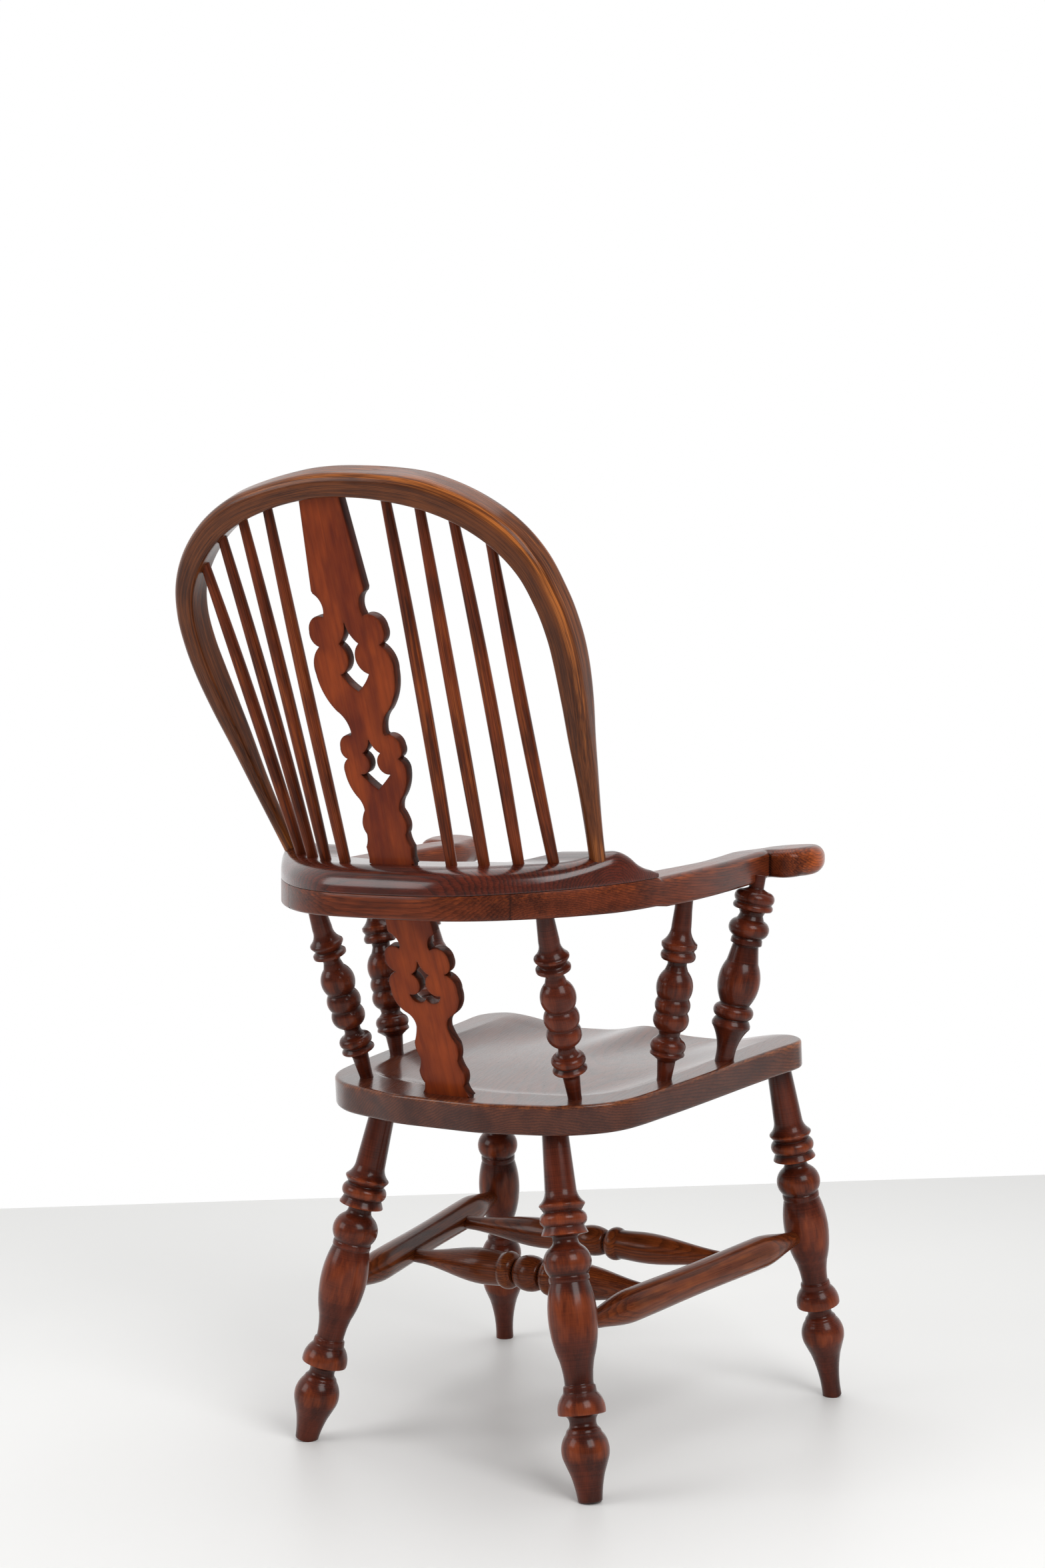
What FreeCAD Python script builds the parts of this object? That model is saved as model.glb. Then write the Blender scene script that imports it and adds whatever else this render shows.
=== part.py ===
"""Windsor armchair: plank seat, turned legs and supports, sawn arm bow, pierced splats, bent back bow.

Millimetres. The chair faces -Y, +Z is up, and the sitter's left is +X.
Points below are laid out with Y = 0 near the middle of the seat; every finished solid is then moved
forward by BASE_Y, so that the origin is on the floor under the middle of the chair's box.
"""
import FreeCAD, Part
import math
import os

V = FreeCAD.Vector

# Clearances of the joints
PEG_GAP = 0.15      # round tenon in its hole, on the radius
SLOT_GAP = 0.15     # splat tenon in its mortise, on each side
END_GAP = 0.3       # below the end of every tenon
FACE_GAP = 0.1      # between faces that are glued together

# Overall layout
BASE_Y = 114.1      # moves the middle of the box over the origin

# Seat board: its top lies in a plane that falls towards the back
SEAT_Z = 440.0      # height of the seat's top plane at Y = 0
SEAT_TILT = 4.45    # degrees
SEAT_THICK = 34.0
SEAT_ROUND = 4.0    # rounding of its edges
DISH_DEPTH = 7.0
DISH_HALF = 150.0
DISH_Y = 10.0       # middle of the dish
THIGH_X = 100.0     # middle of each thigh hollow
THIGH_R = 270.0
THIGH_DEPTH = 12.0  # at the front edge
THIGH_START = 80.0  # where the hollow runs out, behind the middle

# Cutters and slabs are made wider than the chair
SPAN = 900.0

# Arm bow: level slope, thickness in the middle of the back, and the slight hollow of its top
ARM_UNDER_Z = 652.2
ARM_SLOPE = 0.0625
ARM_THICK = 26.0
ARM_RISE_R = 5530.0
ARM_ROUND = 3.5     # rounding of its lower edges

# Splats: where their rear faces stand, and how far they lean back for each unit of rise
SPLAT_THICK = 12.0
SPLAT_TENON = 9.0
UPPER_Y = 342.0
UPPER_LEAN = 0.3124
LOWER_Y = 240.0
LOWER_LEAN = 0.3498
UPPER_HEAD_HALF = 25.3  # half widths of the tenons
UPPER_FOOT_HALF = 28.0
LOWER_HEAD_HALF = 29.0
LOWER_FOOT_HALF = 30.0
SEAT_IN = 16.0      # how far a mortise cutter starts outside the wood

# Crest block on the arm bow, its height measured behind the upper splat
CREST_HEIGHT = 30.2
CREST_SLOPE = 0.0778
CREST_ROLL = 19.0   # radius of the rolled outer edge
CREST_Z = ARM_UNDER_Z + ARM_THICK + CREST_HEIGHT + (CREST_SLOPE - ARM_SLOPE) * UPPER_Y

# Bent bow: plane through its two feet, leaning back
BOW_FOOT_Y = 256.0
BOW_FOOT_Z = CREST_Z - CREST_SLOPE * BOW_FOOT_Y
BOW_LEAN = 0.53     # back per unit of rise
BOW_TOP = 448.0     # from the feet to the middle of the bow's top, along the plane
BOW_W = 25.5        # across the bend
BOW_D = 34.0        # front to back
BOW_FOOT_W = 16.5
BOW_FULL = 250.0    # rise at which the bow has its full section
BOW_FOOT_R = 7.8
BOW_FOOT_DEEP = 36.0

# Back spindles
BACK_R_FOOT = 6.3
BACK_R_WAIST = 7.1
BACK_R_TOP = 5.4
BACK_FOOT_DEEP = 18.0
BACK_TOP_DEEP = 10.0

# Round tenons of the turned pieces
LEG_TENON_R = 13.9
LEG_TENON = 22.0
SUPPORT_FOOT_R = 11.2
SUPPORT_HEAD_R = 8.7
SPINDLE_FOOT_R = 7.8
SPINDLE_HEAD_R = 8.6
FOOT_TENON = 18.0
HEAD_TENON = 15.0
SIDE_TENON_R = 8.6
SIDE_TENON = 13.0
CROSS_TENON_R = 6.8
CROSS_TENON = 11.0

# Turned pieces: widest radii, and the lengths that the spindle turnings are laid out for
LEG_VASE_R = 26.8
LEG_ENTRY = 24.0    # from a leg's axis to where its stretcher enters
SIDE_SWELL_R = 18.4
SIDE_WAIST_R = 16.0
CROSS_SWELL_R = 18.0
SUPPORT_PATTERN = 213.5
SPINDLE_PATTERN = 204.0

nodes = {}


def seat_top(x, y):
    """Point on the seat's top plane."""
    return V(x, y, SEAT_Z - y * math.tan(math.radians(SEAT_TILT)))


def arm_under(x, y):
    """Point on the underside of the arm bow."""
    return V(x, y, ARM_UNDER_Z - ARM_SLOPE * y)


def crest_top(x, y):
    """Point on the top plane of the crest."""
    return V(x, y, CREST_Z - CREST_SLOPE * y)


def bow_point(x, rise):
    """Point in the bow's plane, rise measured along the plane from the feet."""
    run = math.hypot(1.0, BOW_LEAN)
    return V(x, BOW_FOOT_Y + rise * BOW_LEAN / run, BOW_FOOT_Z + rise / run)


def trace(path, lift=None):
    """Edges through a path: (x, y) is a straight step, (xm, ym, x, y) an arc through (xm, ym)."""
    spot = lift or (lambda a, b: V(a, b, 0))
    here = spot(*path[0])
    edges = []
    for step in path[1:]:
        there = spot(*step[-2:])
        if len(step) == 2:
            edges.append(Part.makeLine(here, there))
        else:
            edges.append(Part.Arc(here, spot(*step[:2]), there).toShape())
        here = there
    return edges


def stretched(path, ratio, start=0.0):
    """Path of (distance, radius) steps with its distances scaled and moved by start."""
    return [tuple(start + v * ratio if i % 2 == 0 else v for i, v in enumerate(step)) for step in path]


def risen(path, ratio):
    """Path of (across, up) steps with its heights scaled."""
    return [tuple(v * ratio if i % 2 else v for i, v in enumerate(step)) for step in path]


def both_sides(path):
    """Closed path from a half path that starts and ends at x = 0."""
    back = []
    for i in range(len(path) - 1, 0, -1):
        end = path[i - 1][-2:]
        mid = path[i][:-2]
        back.append(tuple([-mid[0], mid[1], -end[0], end[1]]) if mid else (-end[0], end[1]))
    return list(path) + back


def axis_place(foot, head):
    """Placement that takes +Z at the origin to the line from foot to head."""
    return FreeCAD.Placement(foot, FreeCAD.Rotation(V(0, 0, 1), head - foot))


def turned(path, foot, head):
    """Solid turned about the line from foot to head; the path holds (distance, radius)."""
    full = [(path[0][0], 0.0)] + list(path) + [(path[-1][-2], 0.0)]
    edges = trace(full, lambda s, r: V(r, 0, s))
    edges.append(Part.makeLine(V(0, 0, full[-1][0]), V(0, 0, full[0][0])))
    solid = Part.Face(Part.Wire(edges)).revolve(V(0, 0, 0), V(0, 0, 1), 360)
    solid.Placement = axis_place(foot, head)
    return solid


def drill(foot, head, start, end, radius):
    """Round cutter on the line from foot to head."""
    tool = Part.makeCylinder(radius, end - start, V(0, 0, start))
    tool.Placement = axis_place(foot, head)
    return tool


def main_solid(shape):
    """Largest solid of a cut shape."""
    return max(shape.Solids, key=lambda solid: solid.Volume)


def mirrored(shape):
    return shape.mirror(V(0, 0, 0), V(1, 0, 0))


def pair(tools, shape):
    """Keep a cutter and its mirror image."""
    tools.append(shape)
    tools.append(mirrored(shape))


seat_holes = []
arm_holes = []
crest_holes = []
bow_holes = []

# Seat outline, from the middle of the back round to the middle of the front
SEAT_PLAN = [
    (0, 262), (55, 261), (98, 251), (140, 238), (166, 222), (186, 201), (198, 180), (205, 155),
    (211, 118), (217, 75), (223, 15), (230, -60), (238, -120), (244, -155), (245, -176),
]
SEAT_FRONT = [(245, -176), (243, -199, 222, -206), (120, -214, 0, -216)]


def board_place():
    return FreeCAD.Placement(V(0, 0, SEAT_Z), FreeCAD.Rotation(V(1, 0, 0), -SEAT_TILT))


def seat_blank():
    """Plank with the saddled top, laid flat and then tilted."""
    side = [V(-x, y, 0) for x, y in reversed(SEAT_PLAN)] + [V(x, y, 0) for x, y in SEAT_PLAN[1:]]
    curve = Part.BSplineCurve()
    curve.interpolate(side)
    edges = [curve.toShape()]
    edges += trace(SEAT_FRONT)
    edges += trace([(0, -216), (-120, -214, -222, -206), (-243, -199, -245, -176)])
    blank = Part.Face(Part.Wire(edges)).extrude(V(0, 0, -SEAT_THICK))
    blank = blank.makeFillet(SEAT_ROUND, blank.Edges)
    dish_r = (DISH_HALF ** 2 + DISH_DEPTH ** 2) / (2 * DISH_DEPTH)
    dish = Part.makeSphere(dish_r, V(0, DISH_Y, dish_r - DISH_DEPTH))
    blank = blank.cut(dish)
    fall = math.degrees(math.atan2(THIGH_DEPTH, THIGH_START - SEAT_FRONT[-1][-1]))
    for x in (-THIGH_X, THIGH_X):
        hollow = Part.makeCylinder(THIGH_R, SPAN / 2, V(0, 0, THIGH_R), V(0, -1, 0))
        hollow.Placement = FreeCAD.Placement(V(x, THIGH_START, 0), FreeCAD.Rotation(V(1, 0, 0), fall))
        blank = blank.cut(hollow)
    blank.Placement = board_place()
    return blank


# Legs: where the axis meets the floor, and how far it runs in and back for each unit of height
LEG_REAR = (V(196.43, 250.0, 0), V(-0.19825, -0.12935, 1))
LEG_FRONT = (V(246.25, -243.93, 0), V(-0.07977, 0.17852, 1))
FRONT_TOE = 29.1    # extra length of the front toes below the ball feet
LEG_PATTERN = 401.0     # length from foot to seat that the turning below is laid out for
TOE_TRIM = 6.0      # turned below the floor and cut off level


def seated_at(foot, rake):
    """Length of a leg's axis from the floor to the underside of the seat."""
    fall = math.tan(math.radians(SEAT_TILT))
    under = SEAT_Z - SEAT_THICK / math.cos(math.radians(SEAT_TILT)) - foot.y * fall
    return under / (1 + rake.y * fall) * rake.Length


def leg_path(toe, seated):
    """Leg turning: toe, ball foot, cup, vase, ring, ball, flange, torus, flare and taper."""
    pattern = [
        (18, 16.0, 29, 18.9),
        (38, 22.4, 44, 24.7),
        (57, 26.4, 73, 19.6),
        (76, 18.7),
        (79, 15.6),
        (85, 14.9, 91.4, 19.0),
        (92, 26.4),
        (104, 25.4, 115, 18.6),
        (122, 18.0),
        (123, 16.0),
        (137, 17.0, 150, 19.6),
        (163, 23.6, 180, 26.5),
        (208, LEG_VASE_R, 233, 21.7),
        (233.5, 22.6),
        (239, 22.6),
        (240, 21.4),
        (256, 26.7, 271, 18.0),
        (276, 14.2, 282, 14.8),
        (284, 26.4),
        (293, 22.4),
        (301, 26.5, 308.8, 21.0),
        (316, 26.0),
        (317.5, 25.6),
        (323, 20.6, 334, 17.6),
    ]
    path = [(-TOE_TRIM, 13.6 - 0.05 * toe)]
    path += stretched(pattern, (seated - toe) / LEG_PATTERN, toe)
    path += [(seated - 5, LEG_TENON_R + 0.8), (seated - 4.5, LEG_TENON_R), (seated + LEG_TENON, LEG_TENON_R)]
    return path


def level_foot(solid, foot):
    """Cut a toe level with the floor."""
    wide = 4 * LEG_VASE_R
    return solid.cut(Part.makeBox(wide, wide, wide, foot - V(wide / 2, wide / 2, wide)))


for spot, (foot, rake), toe in (("rear", LEG_REAR, 0.0), ("front", LEG_FRONT, FRONT_TOE)):
    seated = seated_at(foot, rake)
    head = foot + rake
    nodes["leg_%s_left" % spot] = level_foot(turned(leg_path(toe, seated), foot, head), foot)
    pair(seat_holes, drill(foot, head, seated - 12, seated + LEG_TENON + END_GAP, LEG_TENON_R + PEG_GAP))

# Side stretchers, from the rear leg to the front leg, with swells where the cross stretchers enter
SIDE_REAR_Z = 178.0
SIDE_FRONT_Z = 204.0


def on_leg(leg, z):
    return leg[0] + leg[1] * z


side_a = on_leg(LEG_REAR, SIDE_REAR_Z)
side_b = on_leg(LEG_FRONT, SIDE_FRONT_Z)
side_len = (side_b - side_a).Length
CROSS_REAR_Y = 67.0
CROSS_FRONT_Y = -76.0
near = side_len * (side_a.y - CROSS_REAR_Y) / (side_a.y - side_b.y)
far = side_len * (side_a.y - CROSS_FRONT_Y) / (side_a.y - side_b.y)
LEG_HOLE_IN = LEG_ENTRY - SIDE_TENON    # from a leg's axis to the bottom of its stretcher hole
SIDE_NECK = LEG_ENTRY + 7   # from a leg's axis to where the swelling starts
side_path = [
    (LEG_HOLE_IN, SIDE_TENON_R),
    (SIDE_NECK, SIDE_TENON_R),
    (0.5 * (near + SIDE_NECK), 12.6, near, SIDE_SWELL_R),
    (0.5 * (near + far), SIDE_WAIST_R, far, SIDE_SWELL_R),
    (0.5 * (far + side_len - SIDE_NECK), 12.6, side_len - SIDE_NECK, SIDE_TENON_R),
    (side_len - LEG_HOLE_IN, SIDE_TENON_R),
]
nodes["stretcher_side_left"] = turned(side_path, side_a, side_b)
out = SIDE_NECK + 9
rear_hole = drill(side_a, side_b, LEG_HOLE_IN - END_GAP, out, SIDE_TENON_R + PEG_GAP)
front_hole = drill(side_a, side_b, side_len - out, side_len - LEG_HOLE_IN + END_GAP, SIDE_TENON_R + PEG_GAP)
nodes["leg_rear_left"] = main_solid(nodes["leg_rear_left"].cut(rear_hole))
nodes["leg_front_left"] = main_solid(nodes["leg_front_left"].cut(front_hole))

# Cross stretchers between the swells, each with a ball in the middle
SIDE_HOLE_IN = SIDE_SWELL_R - 0.4 - CROSS_TENON     # from a side stretcher's axis to its hole's bottom
for name, y, along in (("rear", CROSS_REAR_Y, near), ("front", CROSS_FRONT_Y, far)):
    hub = side_a + (side_b - side_a) * (along / side_len)
    a = V(hub.x, hub.y, hub.z)
    b = V(-hub.x, hub.y, hub.z)
    span = (b - a).Length
    half = span / 2.0
    neck = SIDE_SWELL_R + 1.6
    cross = [
        (SIDE_HOLE_IN, CROSS_TENON_R),
        (neck, CROSS_TENON_R),
        (half * 0.34, 13.0, half * 0.52, 16.8),
        (half * 0.66, CROSS_SWELL_R, half * 0.78, 14.6),
        (half - 12, 8.6),
        (half, CROSS_SWELL_R, half + 12, 8.6),
        (half * 1.22, 14.6),
        (half * 1.34, CROSS_SWELL_R, half * 1.48, 16.8),
        (half * 1.66, 13.0, span - neck, CROSS_TENON_R),
        (span - SIDE_HOLE_IN, CROSS_TENON_R),
    ]
    nodes["stretcher_cross_%s" % name] = turned(cross, a, b)
    hole = drill(a, b, SIDE_HOLE_IN - END_GAP, neck + 10, CROSS_TENON_R + PEG_GAP)
    nodes["stretcher_side_left"] = main_solid(nodes["stretcher_side_left"].cut(hole))

# Front arm supports
sup_a = seat_top(207, -38)
sup_b = arm_under(247, -46)
sup_len = (sup_b - sup_a).Length
k = sup_len / SUPPORT_PATTERN
support_path = [
    (-FOOT_TENON, SUPPORT_FOOT_R),
    (4, SUPPORT_FOOT_R),
    (24 * k, 13.6, 40 * k, 20.5),
    (42.4 * k, 23.2),
    (45 * k, 22.6),
    (49.5 * k, 17.8),
    (58.2 * k, 24.2, 66 * k, 18.2),
    (67.8 * k, 17.4),
    (88.9 * k, 24.7, 118 * k, 19.0),
    (139 * k, 15.2),
    (140 * k, 18.8),
    (146 * k, 18.4),
    (148 * k, 17.0),
    (158.7 * k, 24.0, 169 * k, 16.0),
    (175 * k, 13.6),
    (180 * k, 16.0),
    (181 * k, 22.4),
    (185 * k, 23.6, 188.6 * k, 20.8),
    (196.3 * k, 23.6, 203 * k, 15.5),
    (206 * k, SUPPORT_HEAD_R),
    (sup_len + HEAD_TENON, SUPPORT_HEAD_R),
]
nodes["support_front_left"] = turned(support_path, sup_a, sup_b)
pair(seat_holes, drill(sup_a, sup_b, -FOOT_TENON - END_GAP, 12, SUPPORT_FOOT_R + PEG_GAP))
pair(arm_holes, drill(sup_a, sup_b, sup_len - 8, sup_len + HEAD_TENON + END_GAP, SUPPORT_HEAD_R + PEG_GAP))

# Arm spindles, two on each side, turned alike
for name, foot_xy, head_xy in (("rear", (145, 198), (157.5, 279)), ("middle", (190, 78), (222, 86))):
    a = seat_top(*foot_xy)
    b = arm_under(*head_xy)
    length = (b - a).Length
    k = length / SPINDLE_PATTERN
    spindle = [
        (-FOOT_TENON, SPINDLE_FOOT_R),
        (4, SPINDLE_FOOT_R),
        (27 * k, 9.8),
        (31.5 * k, 13.0),
        (33 * k, 19.7),
        (35 * k, 19.4),
        (38.8 * k, 15.0),
        (44.3 * k, 19.5, 50.5 * k, 13.6),
        (57.3 * k, 9.6, 61 * k, 10.6),
        (75 * k, 19.7, 82 * k, 16.6),
        (93 * k, 19.9, 101.5 * k, 15.6),
        (115.7 * k, 20.0, 130 * k, 12.4),
        (137.5 * k, 10.0),
        (143 * k, 11.6),
        (144 * k, 19.4),
        (147.5 * k, 19.6),
        (151 * k, 15.0),
        (157.5 * k, 19.9),
        (159.5 * k, 19.4),
        (165 * k, 14.0, 175 * k, 11.8),
        (length - 8, 9.4),
        (length - 7, SPINDLE_HEAD_R),
        (length + HEAD_TENON, SPINDLE_HEAD_R),
    ]
    nodes["spindle_arm_%s_left" % name] = turned(spindle, a, b)
    pair(seat_holes, drill(a, b, -FOOT_TENON - END_GAP, 12, SPINDLE_FOOT_R + PEG_GAP))
    pair(arm_holes, drill(a, b, length - 12, length + HEAD_TENON + END_GAP, SPINDLE_HEAD_R + PEG_GAP))

# Arm bow and crest, seen from above; the outer edge is shared
OUTER = [
    (0, 370), (50, 369), (82, 365.5), (112, 356), (140, 341), (166, 321.5), (190, 299), (206, 280),
    (221, 259), (232, 238), (241, 206), (247, 160), (251, 117), (252, 63), (250, 5), (246, -50), (242, -84),
]
HAND = [(242, -84), (256, -90), (263, -88, 274, -97), (286, -115, 283, -142), (272, -162, 247, -167),
        (219, -158, 207, -130)]
INNER = [
    (207, -130), (202, -100), (200, -60), (204, -15), (206, 30), (201, 72), (194, 108), (187, 145),
    (179, 185), (168, 216), (149, 247), (120, 274), (84, 296), (45, 306), (0, 309),
]


def spline(points):
    curve = Part.BSplineCurve()
    curve.interpolate([V(x, y, 0) for x, y in points])
    return curve.toShape()


def plan_solid(edges, low, high):
    wire = Part.Wire(Part.__sortEdges__(edges))
    face = Part.Face(wire)
    face.translate(V(0, 0, low))
    return face.extrude(V(0, 0, high - low))


def flip(points):
    return [(-x, y) for x, y in reversed(points)]


def seam_z(x):
    """Height of the arm bow's top above its slope line, at x."""
    return ARM_UNDER_Z + ARM_THICK + x * x / (2 * ARM_RISE_R)


def top_arc(rise):
    """Section of the arm bow's slightly hollow top, measured from its underside."""
    reach = SPAN / 2
    side = ARM_THICK + rise + reach ** 2 / (2 * ARM_RISE_R)
    return Part.Arc(V(-reach, 0, side), V(0, 0, ARM_THICK + rise), V(reach, 0, side)).toShape()


def slab(low, high):
    """Long sloping slab between two section edges of the same width."""
    sides = [Part.makeLine(low.Vertexes[-1].Point, high.Vertexes[-1].Point),
             Part.makeLine(low.Vertexes[0].Point, high.Vertexes[0].Point)]
    face = Part.Face(Part.Wire(Part.__sortEdges__([low, high] + sides)))
    face.translate(V(0, SPAN / 2, 0))
    solid = face.extrude(V(0, -SPAN, 0))
    fall = -math.degrees(math.atan(ARM_SLOPE))
    solid.Placement = FreeCAD.Placement(V(0, 0, ARM_UNDER_Z), FreeCAD.Rotation(V(1, 0, 0), fall))
    return solid


def under_edges(solid):
    """Edges that lie on the underside of the arm bow."""
    found = []
    for edge in solid.Edges:
        ends = [edge.valueAt(edge.FirstParameter), edge.valueAt(edge.LastParameter)]
        if all(abs(p.z - arm_under(p.x, p.y).z) < 0.1 for p in ends):
            found.append(edge)
    return found


under_line = Part.makeLine(V(-SPAN / 2, 0, 0), V(SPAN / 2, 0, 0))
arm_slab = slab(under_line, top_arc(0))
crest_slab = slab(top_arc(FACE_GAP), top_arc(70))

arm_edges = [spline(flip(OUTER) + OUTER[1:]), spline(INNER + flip(INNER)[1:])]
arm_edges += trace(HAND)
arm_edges += [edge.mirror(V(0, 0, 0), V(1, 0, 0)) for edge in trace(HAND)]
arm_bow = plan_solid(arm_edges, ARM_UNDER_Z - 90, ARM_UNDER_Z + 130).common(arm_slab)
arm_bow = arm_bow.makeFillet(ARM_ROUND, under_edges(arm_bow))

# The arm bow is butted in three lengths; the joints stand square to its outer edge
JOINT_OUT = V(150, 334, 0)
JOINT_IN = V(114, 284, 0)
across = (JOINT_OUT - JOINT_IN).normalize()
normal = V(across.y, -across.x, 0)


def joint_wedge(shift):
    """Big block beyond the left joint, moved along the bow by shift."""
    base = JOINT_IN - across * SPAN + normal * shift
    far_side = base + normal * SPAN
    points = [base, base + across * 1.3 * SPAN, far_side + across * 1.3 * SPAN, far_side, base]
    return Part.Face(Part.makePolygon(points)).extrude(V(0, 0, ARM_UNDER_Z + SPAN))


beyond = joint_wedge(FACE_GAP / 2)
nodes["arm_left"] = arm_bow.common(beyond)
keep = joint_wedge(-FACE_GAP / 2)
nodes["arm_back"] = arm_bow.cut(keep).cut(mirrored(keep))

# Crest: follows the outer edge of the arm bow and ends in an ogee
CREST_END_Y = 184.0
CREST_INNER = [(180, 150), (172, 205), (155, 238), (128, 268), (92, 292), (48, 305), (0, 308)]
crest_outer = [p for p in OUTER if p[1] > 140]
crest_edges = [spline(flip(crest_outer) + crest_outer[1:]), spline(CREST_INNER + flip(CREST_INNER)[1:])]
for side in (1, -1):
    crest_edges.append(Part.makeLine(V(side * 247, 160, 0), V(side * 180, 150, 0)))
crest = plan_solid(crest_edges, ARM_UNDER_Z - 50, ARM_UNDER_Z + 150).common(crest_slab)
above = Part.makeBox(SPAN, SPAN, SPAN / 4, V(-SPAN / 2, -SPAN / 2, 0))
above.Placement = FreeCAD.Placement(V(0, 0, CREST_Z), FreeCAD.Rotation(V(1, 0, 0),
                                    -math.degrees(math.atan(CREST_SLOPE))))
crest = crest.cut(above)


def crest_ogee():
    """Cutter that shapes both crest ends, a prism along X."""
    seam = seam_z(245) - ARM_SLOPE * CREST_END_Y
    e = CREST_END_Y
    top = crest_top(0, e + 48).z - seam
    path = [
        (e + 62, seam + 3 * top), (e + 62, seam + 1.05 * top),
        (e + 48, seam + 1.03 * top, e + 38, seam + 0.77 * top),
        (e + 28, seam + 0.45 * top, e + 16, seam + 0.37 * top), (e, seam + 0.28 * top), (e, seam - top),
        (e - 84, seam - top), (e - 84, seam + 3 * top), (e + 62, seam + 3 * top),
    ]
    face = Part.Face(Part.Wire(trace(path, lambda y, z: V(-SPAN / 2, y, z))))
    return face.extrude(V(SPAN, 0, 0))


crest = crest.cut(crest_ogee())


def roll_edges(solid):
    """Long outer edge at the top of the crest."""
    found = []
    for edge in solid.Edges:
        box = edge.BoundBox
        mid = edge.valueAt(0.5 * (edge.FirstParameter + edge.LastParameter))
        on_top = abs(mid.z - (CREST_Z - CREST_SLOPE * mid.y)) < 0.5
        if on_top and box.XLength > 300 and mid.y > 340:
            found.append(edge)
    return found


crest = crest.makeFillet(CREST_ROLL, roll_edges(crest))
nodes["arm_crest"] = crest

# Bent bow: middle line in its plane, from the left foot over the top, rises as shares of BOW_TOP
BOW_LINE = [
    (209, 0), (217, 0.1116), (224, 0.2165), (230.5, 0.3281), (237, 0.4241), (242, 0.5246),
    (243, 0.6027), (239, 0.683), (227, 0.7634), (203, 0.8371), (168, 0.9018), (126, 0.9487),
    (78, 0.9799), (35, 0.9955), (0, 1),
]


def bow_frame(curve, t):
    """Centre, direction across the bend and front-to-back direction at parameter t."""
    p = curve.value(t)
    d = curve.tangent(t)[0]
    centre = bow_point(p.x, p.y)
    run = math.hypot(1.0, BOW_LEAN)
    rise = V(0, BOW_LEAN / run, 1.0 / run)
    across_dir = V(1, 0, 0) * (-d.y) + rise * d.x
    depth_dir = V(0, 1.0 / run, -BOW_LEAN / run)
    return centre, across_dir, depth_dir


def bow_section(curve, t, rise):
    """Chamfered rectangle, small at the feet and full above."""
    centre, u, w = bow_frame(curve, t)
    grow = min(1.0, max(0.0, rise / BOW_FULL))
    grow = grow * grow * (3 - 2 * grow)
    a = 0.5 * (BOW_FOOT_W + (BOW_W - BOW_FOOT_W) * grow)
    b = 0.5 * (BOW_FOOT_W + (BOW_D - BOW_FOOT_W) * grow)
    c = 0.29 * 2 * a * (1 - 0.25 * grow)
    quarter = [(a, b - c), (a - c, b)]
    half = quarter + [(-x, y) for x, y in reversed(quarter)]
    corners = half + [(-x, -y) for x, y in half]
    points = [centre + u * x + w * y for x, y in corners]
    return Part.makePolygon(points + [points[0]])


bow_line = risen(BOW_LINE, BOW_TOP)
line = Part.BSplineCurve()
line.interpolate([V(x, s, 0) for x, s in bow_line] + [V(-x, s, 0) for x, s in reversed(bow_line[:-1])])
steps = 30
sections = []
for i in range(steps + 1):
    t = line.FirstParameter + (line.LastParameter - line.FirstParameter) * i / steps
    sections.append(bow_section(line, t, line.value(t).y))
bow = Part.makeLoft(sections, True, False)
foot_dir = bow_point(*bow_line[0]) - bow_point(*bow_line[1])
foot_dir.normalize()
lap = 3.0
foot_top = bow_point(*bow_line[0]) - foot_dir * lap
peg = Part.makeCylinder(BOW_FOOT_R, BOW_FOOT_DEEP + lap, foot_top, foot_dir)
bow = bow.fuse(peg).fuse(mirrored(peg))
foot_hole = drill(foot_top, foot_top + foot_dir, 0, BOW_FOOT_DEEP + lap + END_GAP, BOW_FOOT_R + PEG_GAP)
pair(crest_holes, foot_hole)
pair(arm_holes, foot_hole)
foot_seat = Part.makeLoft([sections[0], sections[1]], True, True)
crest_holes.append(foot_seat)
crest_holes.append(mirrored(foot_seat))

# Back spindles, four on each side, from the crest into the bow, at a share of its height
for i, (x, y, top_x, top_rise) in enumerate((
    (72.2, 330.6, 78.2, 0.9458), (107.7, 320.4, 117.2, 0.9179), (140.5, 303.4, 153.6, 0.8779),
    (172.3, 284.0, 190.7, 0.8114),
), 1):
    a = crest_top(x, y)
    b = bow_point(top_x, top_rise * BOW_TOP)
    length = (b - a).Length
    path = [
        (-BACK_FOOT_DEEP, BACK_R_FOOT),
        (3, BACK_R_FOOT),
        (length * 0.38, BACK_R_WAIST + 0.2, length - 4, BACK_R_TOP),
        (length + BACK_TOP_DEEP, BACK_R_TOP),
    ]
    nodes["back_spindle_left_%d" % i] = turned(path, a, b)
    pair(crest_holes, drill(a, b, -BACK_FOOT_DEEP - END_GAP, 10, BACK_R_FOOT + PEG_GAP))
    pair(bow_holes, drill(a, b, length - 14, length + BACK_TOP_DEEP + END_GAP, BACK_R_TOP + PEG_GAP))

# Splats: outlines in the board's own plane, x across and s up from the foot of the rear face
UPPER_FOOT = crest_top(0, UPPER_Y)
UPPER_HEAD = UPPER_FOOT + V(0, UPPER_LEAN, 1)
UPPER_LEN = (bow_point(0, BOW_TOP - BOW_W / 2).z - UPPER_FOOT.z) * math.hypot(1, UPPER_LEAN)
LOWER_FOOT = seat_top(0, LOWER_Y)
LOWER_HEAD = LOWER_FOOT + V(0, LOWER_LEAN, 1)
LOWER_RISE = (arm_under(0, LOWER_Y).z - LOWER_FOOT.z) / (1 + ARM_SLOPE * LOWER_LEAN)
LOWER_LEN = LOWER_RISE * math.hypot(1, LOWER_LEAN)
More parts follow.
